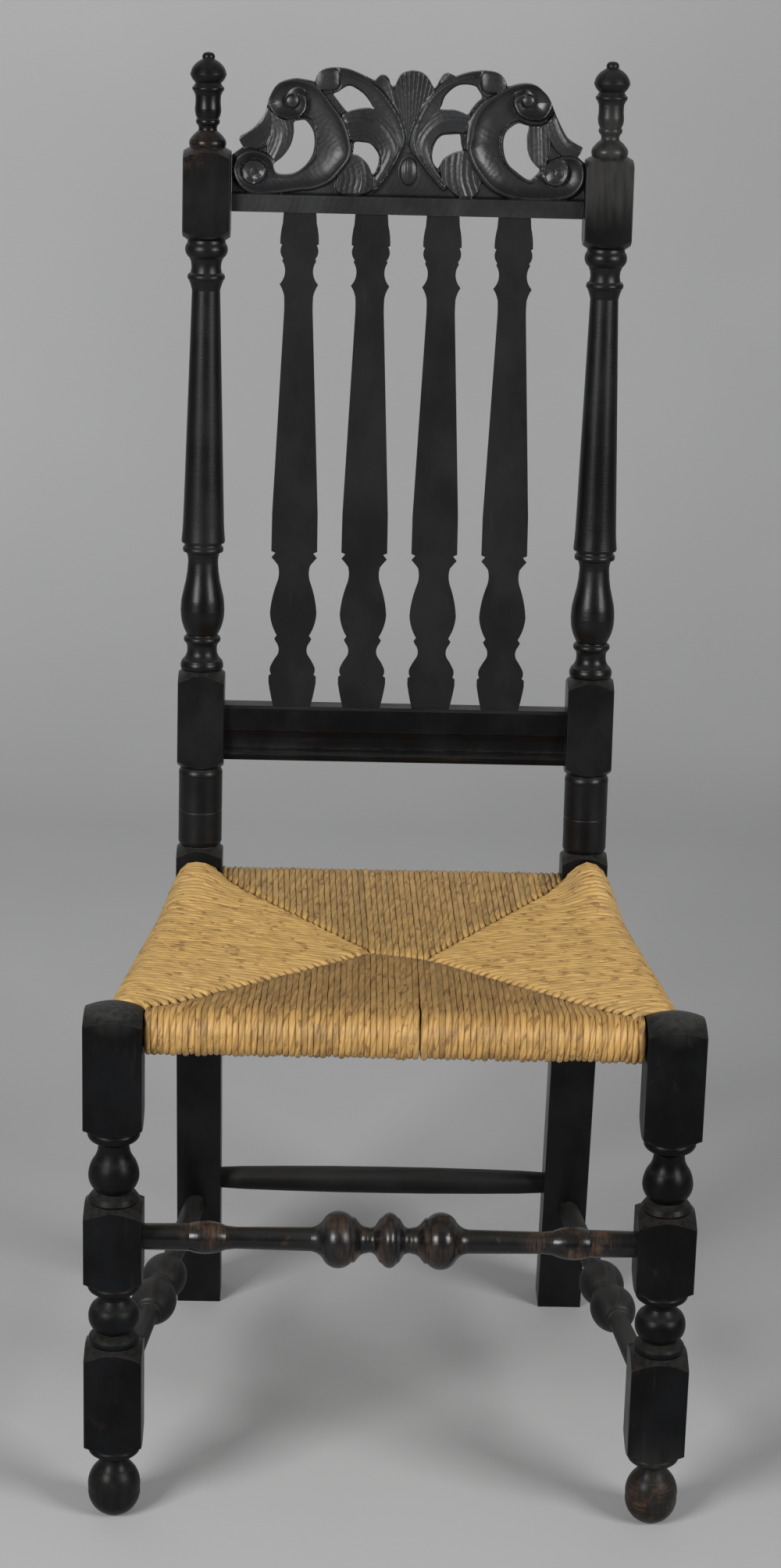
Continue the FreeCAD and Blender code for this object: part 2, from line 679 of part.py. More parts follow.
banisterMortises = []
for number in range(banisterCount):
    label = f"banister_{number + 1}"
    x = size("banisterSpacing") * (number - (banisterCount - 1) / 2)
    body = doc.addObject("PartDesign::Body", f"splitTurning{number + 1}")
    outline = turned(banisterShares, 0, banisterLength, size("banisterWidth") / 2)
    rows = [(outline[0][0],)] + outline[1:] + [((0, banisterLength),), ((0, 0),)]
    sketch = sketchOn(body, "XZ_Plane", f"{label}_outline", (0, 0), rows)
    spin(body, sketch, f"{label}_turning", 180)
    lean(body, x, -size("banisterFront"), railTop)
    pieces[label] = fused(label, [body, banisterTenons(f"{label}_tenons", x, 0, 0)])
    banisterMortises.append(banisterTenons(f"{label}_mortises", x, jointGap, mortiseSpare))


# Lower back rail: a moulded strip

railBody = doc.addObject("PartDesign::Body", "mouldedRail")
halfThick, railHeight = size("railThickness") / 2, size("railHeight")
section = [tuple((halfThick * row[i], railHeight * row[i + 1]) for i in range(0, len(row), 2))
           for row in railShares]
sketch = sketchOn(railBody, "YZ_Plane", "railSection", section[0][0], section[1:] + [(section[0][0],)])
pad(railBody, sketch, "railStrip", rearHalf * 2, middle=True)
lean(railBody, 0, 0, size("railLow"))
railTenons = backBar("lowerRailTenons", *backBars["lowerRail"], 0, 0)
pieces["lower_back_rail"] = cut("lower_back_rail", fused("railWithTenons", [railBody, railTenons]),
                                fused("railMortises", banisterMortises + pinHoles["lowerRail"]))


# Crest rail: a pierced board with a carved outline

def crestPoint(share):
    return Vector(share[0] * rearHalf.value, 0, share[1] * size("crestRise").value)


def stroke(points, closed=False):
    curve = Part.BSplineCurve()
    curve.interpolate(points, PeriodicFlag=closed)
    return curve.toShape()


def crestBoard():
    edges = []
    point = crestPoint((-1, 0))
    corner = crestPoint(crestLeftShares[0][0])
    edges.append(Part.makeLine(point, corner))
    point = corner
    strokes = [crestLeftShares[0][1:]] + crestLeftShares[1:] + crestRightShares
    for shares in strokes:
        points = [point] + [crestPoint(share) for share in shares]
        edges.append(stroke(points))
        point = points[-1]
    edges.append(Part.makeLine(point, crestPoint((1, 0))))
    edges.append(Part.makeLine(crestPoint((1, 0)), crestPoint((-1, 0))))
    holes = [Part.Wire(stroke([crestPoint(share) for share in shares], closed=True))
             for shares in crestPiercingShares]
    face = Part.makeFace([Part.Wire(edges)] + holes, "Part::FaceMakerBullseye")
    thickness = size("crestThickness").value
    face.translate(Vector(0, -thickness / 2, 0))
    return face.extrude(Vector(0, thickness, 0))


board = doc.addObject("Part::Feature", "piercedBoard")
board.Shape = crestBoard()
lean(board, 0, 0, size("crestLow"))
crestTenons = backBar("crestTenons", *backBars["crest"], 0, 0)
pieces["crest_rail"] = cut("crest_rail", fused("boardWithTenons", [board, crestTenons]),
                           fused("crestMortises", banisterMortises + pinHoles["crest"]))


# Pins of the crest and of the lower rail

for rail, label in (("crest", "crest_pegs"), ("lowerRail", "lower_rail_pegs")):
    low, height = backBars[rail]
    pieces[label] = doc.addObject("Part::Compound", label)
    pieces[label].Links = pins(rail + "Pin", low + height / 2, 0, 0, 0)


# Rush seat: wound round the rails and between the legs, over its stuffing

rushGap = size("rushGap")
sideSlope = (sideRailX - rearX) / (rearRailY - frontY)
sideCosine = cosine(slantAngle(sideSlope))
postFront = postStock / 2 * cosine((backAngle - cantAngle) / 2) / cosine((backAngle + cantAngle) / 2)


def sideX(y, out):
    # on the side rail's line, or that far outside it
    return sideRailX - sideSlope * (y - frontY) + out / sideCosine


def seatPlan(front, out, back):
    # the seat's outline, notched round the four legs
    legSide, legBack = frontHalf - rushGap, frontY + legStock / 2 + rushGap
    postSide, postFace = rearHalf - rushGap, rearY - postFront - rushGap
    half = [(legSide, front), (legSide, legBack), (sideX(legBack, out), legBack),
            (sideX(postFace, out), postFace), (postSide, postFace), (postSide, back)]
    points = half + [(-x, y) for x, y in reversed(half)]
    return points[-1], [(point,) for point in points]


def seatSlab(name, plan, thickness):
    body = doc.addObject("PartDesign::Body", name)
    place(body, 0, 0, seatRailHeight)
    sketch = sketchOn(body, "XY_Plane", name + "Plan", *plan)
    return body, pad(body, sketch, name + "Slab", thickness, middle=True)


halfRail = seatRailSize / 2
seatFront = frontRailY - halfRail - size("rushFrontOver")
seatBack = rearRailY + halfRail + size("rushBackOver")
rushPlan = seatPlan(seatFront, halfRail + size("rushSideOver"), seatBack)
rush, rushSlab = seatSlab("rush", rushPlan, seatRailSize + size("rushOver") * 2)


def rolled(edge):
    # true of the seat's long upper and lower edges, and not of its notches
    along = edge.Vertexes[1].Point - edge.Vertexes[0].Point
    ends = [abs(edge.CenterOfMass.y - y.value) for y in (seatFront, seatBack)]
    level = abs(along.z) < rushGap.value
    slanted = min(abs(along.x), abs(along.y)) > rushGap.value
    return level and (slanted or min(ends) < rushGap.value)


roundEdges(rush, rushSlab, "rushRolls", size("rushRounding"), rolled)
around = halfRail + rushGap
hollowFront, hollowBack = frontRailY - around, rearRailY + around
hollowHalf = [(sideX(hollowFront, around), hollowFront), (sideX(hollowBack, around), hollowBack)]
hollowPoints = hollowHalf + [(-x, y) for x, y in reversed(hollowHalf)]
hollow, _ = seatSlab("rushHollow", (hollowPoints[-1], [(point,) for point in hollowPoints]), around * 2)
pieces["rush_seat"] = cut("rush_seat", rush, hollow)
stuffing, _ = seatSlab("seat_stuffing", seatPlan(frontRailY + around, -around, rearRailY - around), seatRailSize)
pieces["seat_stuffing"] = stuffing


# Finished pieces

doc.recompute()
failed = [thing.Name for thing in doc.Objects if {"Invalid", "Error"} & set(thing.State)]
if failed:
    raise RuntimeError(f"these did not build: {failed}")
os.makedirs("parts", exist_ok=True)
for label, piece in pieces.items():
    piece.Label = label
    if piece.Shape.isNull() or not piece.Shape.isValid():
        raise RuntimeError(f"{label} has no valid shape")
for label, piece in pieces.items():
    piece.Shape.exportStep(f"parts/{label}.step")
    box = piece.Shape.BoundBox
    print(f"{label}: {len(piece.Shape.Solids)} solid, {piece.Shape.Volume / 1000:.1f} cm3,"
          f" x {box.XMin:.1f} to {box.XMax:.1f}, y {box.YMin:.1f} to {box.YMax:.1f},"
          f" z {box.ZMin:.1f} to {box.ZMax:.1f}")
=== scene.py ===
# Banister back side chair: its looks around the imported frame.
import math
import random

import bpy
import numpy as np
from mathutils import Matrix, Vector
from mathutils.geometry import delaunay_2d_cdt


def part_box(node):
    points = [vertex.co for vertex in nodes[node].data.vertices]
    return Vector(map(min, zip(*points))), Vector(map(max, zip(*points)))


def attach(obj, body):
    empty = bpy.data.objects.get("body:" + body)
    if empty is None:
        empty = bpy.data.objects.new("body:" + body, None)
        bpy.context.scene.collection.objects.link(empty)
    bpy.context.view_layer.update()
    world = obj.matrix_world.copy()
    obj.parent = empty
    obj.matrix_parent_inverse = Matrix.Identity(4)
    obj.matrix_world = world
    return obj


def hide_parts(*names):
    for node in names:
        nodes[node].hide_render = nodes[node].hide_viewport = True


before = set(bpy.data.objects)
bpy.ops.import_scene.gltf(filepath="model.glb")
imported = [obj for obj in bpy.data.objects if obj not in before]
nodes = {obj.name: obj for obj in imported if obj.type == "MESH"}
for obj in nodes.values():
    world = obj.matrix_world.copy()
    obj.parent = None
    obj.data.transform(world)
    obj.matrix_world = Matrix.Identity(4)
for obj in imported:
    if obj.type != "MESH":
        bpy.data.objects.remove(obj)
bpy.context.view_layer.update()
mm = 0.001
print("frame loaded:", len(nodes), "nodes")


# Small helpers for meshes

def pieceFromMesh(name, points, faces, material, replaced=()):
    # Points are in the chair's own frame, so the object stays at the origin.
    mesh = bpy.data.meshes.new(name)
    mesh.from_pydata([tuple(p) for p in points], [], [tuple(f) for f in faces])
    mesh.validate()
    piece = bpy.data.objects.new(name, mesh)
    bpy.context.scene.collection.objects.link(piece)
    piece.data.materials.append(material)
    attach(piece, "root")
    if replaced:
        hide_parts(*replaced)
    return piece


def only(piece):
    bpy.ops.object.select_all(action="DESELECT")
    piece.select_set(True)
    bpy.context.view_layer.objects.active = piece


def facesOutward(piece):
    only(piece)
    bpy.ops.object.mode_set(mode="EDIT")
    bpy.ops.mesh.select_all(action="SELECT")
    bpy.ops.mesh.normals_make_consistent(inside=False)
    bpy.ops.object.mode_set(mode="OBJECT")


def smoothPath(points, step, closed=False):
    # Catmull-Rom curve through given points, sampled about every step.
    p = np.array(points, float)
    if closed:
        p = np.vstack([p[-1:], p, p[:2]])
    else:
        p = np.vstack([2 * p[0] - p[1], p, 2 * p[-1] - p[-2]])
    path = []
    for a, b, c, d in zip(p, p[1:], p[2:], p[3:]):
        count = max(1, int(math.dist(b, c) / step))
        t = (np.arange(count) / count)[:, None]
        path.append(0.5 * (2 * b + (c - a) * t + (2 * a - 5 * b + 4 * c - d) * t ** 2
                           + (3 * b - a - 3 * c + d) * t ** 3))
    if not closed:
        path.append(p[-2][None])
    return np.vstack(path)


# Small helpers for materials

def newMaterial(name):
    material = bpy.data.materials.new(name)
    material.use_nodes = True
    tree = material.node_tree
    return material, tree, tree.nodes["Principled BSDF"]


def add(tree, kind, **settings):
    node = tree.nodes.new("ShaderNode" + kind)
    for key, value in settings.items():
        setattr(node, key, value)
    return node


def wire(tree, source, target):
    tree.links.new(source, target)


def objectPlace(tree):
    return add(tree, "TexCoord").outputs["Object"]


def axes(tree, vector):
    # The x, y and z parts of a vector.
    node = add(tree, "SeparateXYZ")
    wire(tree, vector, node.inputs[0])
    return node.outputs


def math2(tree, operation, first, second, clamp=False):
    node = add(tree, "Math", operation=operation, use_clamp=clamp)
    for socket, value in zip(node.inputs, (first, second)):
        if isinstance(value, bpy.types.NodeSocket):
            wire(tree, value, socket)
        else:
            socket.default_value = value
    return node.outputs[0]


def noise(tree, coordinates, stretch, detail=4.0, roughness=0.55, distortion=0.0):
    # Noise on coordinates in metres; stretch is how many cells fit in a metre each way.
    mapping = add(tree, "Mapping")
    mapping.inputs["Scale"].default_value = stretch
    wire(tree, coordinates, mapping.inputs["Vector"])
    node = add(tree, "TexNoise")
    node.inputs["Scale"].default_value = 1
    node.inputs["Detail"].default_value = detail
    node.inputs["Roughness"].default_value = roughness
    node.inputs["Distortion"].default_value = distortion
    wire(tree, mapping.outputs[0], node.inputs["Vector"])
    return node.outputs["Fac"]


def between(tree, value, low, high, toLow=0.0, toHigh=1.0):
    node = add(tree, "MapRange", interpolation_type="SMOOTHSTEP")
    wire(tree, value, node.inputs["Value"])
    for name, number in (("From Min", low), ("From Max", high), ("To Min", toLow), ("To Max", toHigh)):
        node.inputs[name].default_value = number
    return node.outputs["Result"]


def blendColour(tree, amount, first, second):
    node = add(tree, "Mix", data_type="RGBA")
    wire(tree, amount, node.inputs["Factor"])
    for name, value in (("A", first), ("B", second)):
        socket = [s for s in node.inputs if s.name == name and s.type == "RGBA"][0]
        if isinstance(value, bpy.types.NodeSocket):
            wire(tree, value, socket)
        else:
            socket.default_value = (*value, 1)
    return [s for s in node.outputs if s.type == "RGBA"][0]


def bumps(tree, shader, layers):
    # Each layer is a height socket, its strength and its depth in metres.
    normal = None
    for height, strength, depth in layers:
        node = add(tree, "Bump")
        node.inputs["Strength"].default_value = strength
        node.inputs["Distance"].default_value = depth
        wire(tree, height, node.inputs["Height"])
        if normal:
            wire(tree, normal, node.inputs["Normal"])
        normal = node.outputs["Normal"]
    wire(tree, normal, shader.inputs["Normal"])


# Black paint over wood, rubbed through on edges and full rounds, with dust and painted sheen

paint = {
    "black": (0.0024, 0.0024, 0.0027),
    "grey": (0.0058, 0.0062, 0.0068),
    "rubbed": (0.048, 0.028, 0.018),
    "bare": (0.135, 0.070, 0.036),
    "edge": (0.062, 0.044, 0.033),
    # grey laid for dust and for painted sheen, also as painted light from above on what faces up
    "dustAndSheen": (0.060, 0.058, 0.052),
    # how many cells of each pattern fit in a metre
    "clouds": (19, 19, 13), "specks": (420, 420, 420), "dabs": (70, 70, 45),
    "latheLines": 620, "latheRound": 40,
    # fibres are this many times as long as wide
    "fibreLength": 14,
    # how near an edge its wear starts, in metres
    "edgeReach": 0.0022,
    # share of a worn or dusty place that has its full strength
    "placeCore": 0.4,
    # where in its pattern's range each mark begins and is full, and the strength of the streaks
    "greyed": (0.35, 0.75), "streaks": (0.62, 0.80), "streakTone": 0.20, "broken": (0.40, 0.62),
    "ragged": (0.34, 0.60), "spots": (0.60, 0.74), "edgeTurn": (0.02, 0.22), "faceUp": (0.30, 0.85),
    # the same for how patchy dust and painted sheen are, thin to full, with the strength at each
    "uneven": (0.25, 0.65, 0.3, 1.0),
    # how far the roughness strays each way over the clouds, and how much more bare wood has
    "sheen": (0.25, 0.8), "glossier": 0.05, "duller": 0.12, "bareRough": 0.18,
    # bumps as strength and depth in metres
    "fibreBump": (0.35, 0.0004), "speckBump": (0.20, 0.0002), "dabBump": (0.25, 0.0005),
    "latheBump": (0.22, 0.0003),
}


def nearPlace(tree, place, centre, reach, strength):
    # Strength at a place on the piece, fading to nothing at its reach.
    away = add(tree, "VectorMath", operation="DISTANCE")
    wire(tree, place, away.inputs[0])
    away.inputs[1].default_value = centre
    return between(tree, away.outputs["Value"], reach * paint["placeCore"], reach, strength, 0.0)


def withPlaces(tree, place, amount, spots, texture):
    # The greater of an amount and each listed place, the places broken up by a texture.
    for spot in spots:
        here = math2(tree, "MULTIPLY", nearPlace(tree, place, *spot), texture)
        amount = math2(tree, "MAXIMUM", amount, here)
    return amount


def blackPaint(name, grain, gloss=0.36, shine=0.35, edgeWearAndSheen=1.0, patches=0.0, along="z", lift=1.0,
               worn=(), dustAndSheenPlaces=(), settledDustAndSheen=0.25, turned=True):
    # grain is cells per metre across the grain; gloss is the roughness of the paint and shine its
    # strength of reflection; along is the axis that the grain follows, and that a turned piece was
    # turned on; the edge strength is the wear on the edges, and on the crest a painted sheen along its
    # ridges; patches are the brown spots; lift lightens the black; the two lists give places as
    # centre,
    # reach and strength: first those rubbed down, then those that are dusty and those given a painted
    # sheen; the last strength is dust, with painted light from above, on what faces up.
    material, tree, shader = newMaterial(name)
    place = objectPlace(tree)
    axis = "xyz".index(along)
    stretch = [grain] * 3
    stretch[axis] = grain / paint["fibreLength"]
    rings = [paint["latheRound"]] * 3
    rings[axis] = paint["latheLines"]
    fibres = noise(tree, place, stretch, 5, 0.6)
    clouds = noise(tree, place, paint["clouds"], 4, 0.6)
    specks = noise(tree, place, paint["specks"], 2, 0.5)
    dabs = noise(tree, place, paint["dabs"], 5, 0.65, 0.4)
    strokes = noise(tree, place, rings, 3, 0.6)

    # edges show where the rounded normal turns away from the flat one
    edgeNormal = add(tree, "Bevel", samples=6)
    edgeNormal.inputs["Radius"].default_value = paint["edgeReach"]
    flatNormal = add(tree, "NewGeometry").outputs["Normal"]
    facing = add(tree, "VectorMath", operation="DOT_PRODUCT")
    wire(tree, edgeNormal.outputs[0], facing.inputs[0])
    wire(tree, flatNormal, facing.inputs[1])
    turn = math2(tree, "SUBTRACT", 1.0, facing.outputs["Value"])
    broken = between(tree, dabs, *paint["broken"])
    edge = math2(tree, "MULTIPLY", between(tree, turn, *paint["edgeTurn"]), broken)
    # edge mask: worn paint on most pieces, painted sheen along the crest's ridges
    rubbed = math2(tree, "MULTIPLY", edge, edgeWearAndSheen, clamp=True)

    spots = math2(tree, "MULTIPLY", between(tree, dabs, *paint["spots"]), patches)
    ragged = math2(tree, "MULTIPLY", broken, between(tree, strokes, *paint["ragged"]))
    brown = withPlaces(tree, place, spots, worn, ragged)
    uneven = between(tree, fibres, *paint["uneven"])
    # painted light from above, with some dust: what faces up is laid lighter grey
    facingUp = between(tree, axes(tree, flatNormal)["Z"], *paint["faceUp"], 0.0, settledDustAndSheen)
    upFacingDustAndSheen = math2(tree, "MULTIPLY", facingUp, uneven)
    dustAndSheen = withPlaces(tree, place, upFacingDustAndSheen, dustAndSheenPlaces, uneven)

    # black, then dust and painted sheen, streaks, worn edges with painted sheen on the crest, and bare
    # wood over it
    black, grey = ([min(1, lift * c) for c in paint[key]] for key in ("black", "grey"))
    colour = blendColour(tree, between(tree, clouds, *paint["greyed"]), black, grey)
    # dust and painted sheen: lighter grey where the mask above says
    colour = blendColour(tree, dustAndSheen, colour, paint["dustAndSheen"])
    streaks = between(tree, fibres, *paint["streaks"], 0, paint["streakTone"])
    colour = blendColour(tree, streaks, colour, paint["rubbed"])
    # worn edges; on the crest, at its low strength, this is a painted sheen along the ridges
    colour = blendColour(tree, rubbed, colour, paint["edge"])
    wood = blendColour(tree, fibres, paint["rubbed"], paint["bare"])
    wire(tree, blendColour(tree, brown, colour, wood), shader.inputs["Base Color"])
    smooth, dull = gloss - paint["glossier"], gloss + paint["duller"]
    sheen = between(tree, clouds, *paint["sheen"], smooth, dull)
    rough = math2(tree, "ADD", sheen, math2(tree, "MULTIPLY", brown, paint["bareRough"]))
    wire(tree, rough, shader.inputs["Roughness"])
    shader.inputs["Specular IOR Level"].default_value = shine
    layers = [(fibres, *paint["fibreBump"]), (specks, *paint["speckBump"]), (dabs, *paint["dabBump"])]
    if turned:
        layers.append((strokes, *paint["latheBump"]))
    bumps(tree, shader, layers)
    return material


# Unpainted wood for what the rush hides and for the pins, and straw for the stuffing

bareWood = {
    # cells in a metre across the grain and along it
    "across": 160, "lengthwise": 9,
    "rough": (0.2, 0.8, 0.72, 0.55), "bump": (0.4, 0.0005),
    "oak": [(0.42, 0.27, 0.14), (0.20, 0.11, 0.05)],
    "darkOak": [(0.10, 0.06, 0.035), (0.035, 0.02, 0.012)],
}


def plainWood(name, tones, along):
    light, dark = tones
    material, tree, shader = newMaterial(name)
    stretch = [bareWood["across"]] * 3
    stretch["xyz".index(along)] = bareWood["lengthwise"]
    fibres = noise(tree, objectPlace(tree), stretch, 5, 0.6, 0.3)
    wire(tree, blendColour(tree, fibres, dark, light), shader.inputs["Base Color"])
    wire(tree, between(tree, fibres, *bareWood["rough"]), shader.inputs["Roughness"])
    bumps(tree, shader, [(fibres, *bareWood["bump"])])
    return material


straw = {
    "stems": (40, 260, 260), "dark": (0.16, 0.10, 0.045), "light": (0.42, 0.31, 0.15),
    "rough": (0.2, 0.8, 0.8, 0.65), "bump": (0.8, 0.002),
}


def strawStuffing():
    material, tree, shader = newMaterial("stuffing_straw")
    stems = noise(tree, objectPlace(tree), straw["stems"], 5, 0.65, 1.2)
    wire(tree, blendColour(tree, stems, straw["dark"], straw["light"]), shader.inputs["Base Color"])
    wire(tree, between(tree, stems, *straw["rough"]), shader.inputs["Roughness"])
    bumps(tree, shader, [(stems, *straw["bump"])])
    return material


# The CAD pieces keep their shapes and get their finish here

leftPostPaint = blackPaint("left_post_paint", 190, gloss=0.33, shine=0.21, edgeWearAndSheen=0.8,
                           worn=[((-0.190, 0.165, 1.10), 0.030, 0.3)])
# the right post's place lightens its upper block face to grey as a painted sheen
rightPostPaint = blackPaint("right_post_paint", 190, gloss=0.33, shine=0.21, edgeWearAndSheen=0.45,
                            dustAndSheenPlaces=[((0.171, 0.166, 1.09), 0.062, 0.42)])
# on each front leg the place high on the top block is painted sheen, and the place at the foot is dust
leftLegPaint = blackPaint("left_leg_paint", 190, gloss=0.34, shine=0.08, edgeWearAndSheen=0.5, patches=0.08,
                          dustAndSheenPlaces=[((-0.2275, -0.200, 0.468), 0.036, 0.62),
                                 ((-0.2275, -0.215, 0.020), 0.060, 0.12)])
rightLegPaint = blackPaint("right_leg_paint", 190, gloss=0.34, shine=0.08, edgeWearAndSheen=0.5, patches=0.10,
                           worn=[((0.2275, -0.212, 0.020), 0.034, 0.55)],
                           dustAndSheenPlaces=[((0.2275, -0.200, 0.468), 0.036, 0.55),
                                  ((0.2275, -0.215, 0.030), 0.070, 0.22)])
banisterPaint = blackPaint("banister_paint", 210, gloss=0.50, shine=0.22, edgeWearAndSheen=0.2, turned=False)
railPaint = blackPaint("rail_paint", 200, gloss=0.34, shine=0.12, edgeWearAndSheen=0.4, along="x", turned=False)
frontStretcherPaint = blackPaint("front_stretcher_paint", 190, gloss=0.24, shine=0.34, edgeWearAndSheen=0.8,
                                 patches=0.28, along="x",
                                 worn=[((0, -0.200, 0.282), 0.080, 0.45),
                                       ((-0.150, -0.200, 0.272), 0.030, 0.60),
                                       ((0.150, -0.200, 0.272), 0.050, 0.70)])
rearStretcherPaint = blackPaint("rear_stretcher_paint", 190, gloss=0.50, shine=0.2, edgeWearAndSheen=0.3,
                                along="x")
sideStretcherPaint = blackPaint("side_stretcher_paint", 190, gloss=0.50, shine=0.25, edgeWearAndSheen=0.5,
                                patches=0.20, along="y", lift=1.7, settledDustAndSheen=0.34)
# the crest's edge strength paints sheen: a lighter grey along its carved ridges
crestPaint = blackPaint("crest_paint", 230, gloss=0.38, shine=0.5, edgeWearAndSheen=0.12, along="x", lift=2.0,
                        settledDustAndSheen=0, turned=False)
barOak = plainWood("seat_bar_oak", bareWood["oak"], "x")
sideBarOak = plainWood("side_bar_oak", bareWood["oak"], "y")
pinOak = plainWood("pin_oak", bareWood["darkOak"], "y")

finishes = {
    "rear_post_left": leftPostPaint, "rear_post_right": rightPostPaint,
    "front_leg_left": leftLegPaint, "front_leg_right": rightLegPaint,
    "banister_1": banisterPaint, "banister_2": banisterPaint,
    "banister_3": banisterPaint, "banister_4": banisterPaint,
    "lower_back_rail": railPaint, "front_stretcher": frontStretcherPaint,
    "rear_stretcher": rearStretcherPaint,
    "side_stretcher_left": sideStretcherPaint, "side_stretcher_right": sideStretcherPaint,
    "front_seat_rail": barOak, "rear_seat_rail": barOak,
    "side_seat_rail_left": sideBarOak, "side_seat_rail_right": sideBarOak,
    "crest_pegs": pinOak, "lower_rail_pegs": pinOak, "seat_stuffing": strawStuffing(),
}
for nodeName, finish in finishes.items():
    nodeMaterials = nodes[nodeName].data.materials
    nodeMaterials.clear()
    nodeMaterials.append(finish)
print("finishes laid on", len(finishes), "nodes")


# Crest rail: a pierced board carved in relief

# In millimetres: x from the middle, and heights measured up the leaning posts, on which the
# board's lower edge is at low and its plain moulded base reaches up to base.
crest = {
    "lean": math.radians(5.5), "half": 150, "low": 559, "high": 682, "thickness": 20, "base": 574.5,
    # spacing of the points on the face and round the edge, where points closer than closest are
    # one, the share of a space that is kept clear of an edge, and the softness of a carved step
    "pitch": 0.7, "edgeStep": 1.0, "closest": 0.05, "clear": 0.6, "soften": 0.55,
    # degrees from which an edge stays sharp
    "sharp": 50,
    "outline": [
        [(-150, 559), (-150, 606)],
        [(-150, 606), (-146, 609), (-141, 612.5)],
        [(-143.5, 618), (-144, 621), (-138, 624.5), (-131, 630), (-123, 641), (-119, 655),
         (-112, 666), (-100, 670.5), (-92, 670.5), (-81, 668.5)],
        [(-80.5, 669.5), (-79.5, 673), (-76, 677.5), (-70, 680), (-62, 680.7), (-54, 680),
         (-46, 677.5), (-30, 670.5)],
        [(-28, 673), (-25, 675.3), (-21, 675), (-18, 672), (-16.5, 667.5), (-14.5, 666)],
        [(-12.5, 667), (-11, 671), (-8.5, 675.5), (-5, 678), (0, 679.5), (3, 679.6),
         (9, 678.5), (14, 675), (17.5, 670), (19.5, 666.5), (21, 665)],
        [(23, 668), (26, 674), (29, 677.5), (33, 678), (38.5, 675.5)],
        [(38.5, 675.5), (45, 678), (53, 680), (63, 681), (72, 680), (77, 677.5), (80, 674),
         (82, 668.5)],
        [(85, 668.5), (92, 670.5), (100, 671.2), (107, 669.5), (113, 665), (118, 659),
         (125.5, 642.5), (133, 629), (139, 623.5), (147.5, 619)],
        [(147.5, 619), (146, 615), (143.5, 611)],
        [(147, 608), (150, 605.5)],
        [(150, 605.5), (150, 559)],
        [(150, 559), (-150, 559)],
    ],
    "openings": [
        [(-98, 634.5), (-93, 636.3), (-88.5, 636.5), (-84.5, 632.5), (-81.5, 627), (-80.3, 620),
         (-80.8, 612), (-83, 605), (-88, 598), (-95, 592.5), (-102, 590.3), (-110, 590.3),
         (-113.5, 592.5), (-115, 597.5), (-113.5, 600.5), (-108, 605), (-103, 611),
         (-99.5, 618), (-98, 626)],
        [(-65, 658.5), (-61, 661), (-55, 665), (-51.5, 666), (-47, 664.5), (-40, 660),
         (-35, 654.5), (-31.5, 649), (-30, 646.5), (-35, 647.5), (-42, 646.8), (-49, 645.2),
         (-53, 644), (-57, 648), (-61, 653)],
        [(-46, 619), (-38, 619), (-33, 618), (-28.5, 613.5), (-25.5, 608), (-25.5, 602),
         (-27, 596.5), (-29, 592.5), (-31, 592.5), (-32.5, 596), (-35, 600.5), (-39, 604.5),
         (-43.5, 607.5), (-47.3, 608.5), (-47, 613)],
        [(92, 638), (97, 637), (101.5, 635.5), (101.5, 631.5), (100.5, 627), (100.7, 621),
         (101.5, 614), (104.5, 607), (108.5, 602.5), (111.5, 600), (112, 598), (110.5, 595.5),
         (107, 592), (104, 590), (99, 592), (92, 597), (86, 602), (82, 609), (80.3, 617),
         (80.2, 624), (82, 630), (86, 634.5)],
        [(25.5, 648), (27, 652), (29.5, 659), (35, 665), (41, 668.5), (48, 669.3), (55, 668),
         (58, 664.5), (61, 658.5), (57, 654), (53, 649), (49.5, 644), (45, 645.5),
         (38, 647.5), (31, 647.5)],
        [(20, 612), (21, 617), (24, 623), (28.5, 626.5), (35, 627.3), (42, 627.8), (43.5, 626),
         (44.5, 619), (45.5, 613.5), (40, 612), (34, 609), (29.5, 605.5), (27, 601),
         (25, 598), (21.5, 602), (20, 607)],
    ],
}

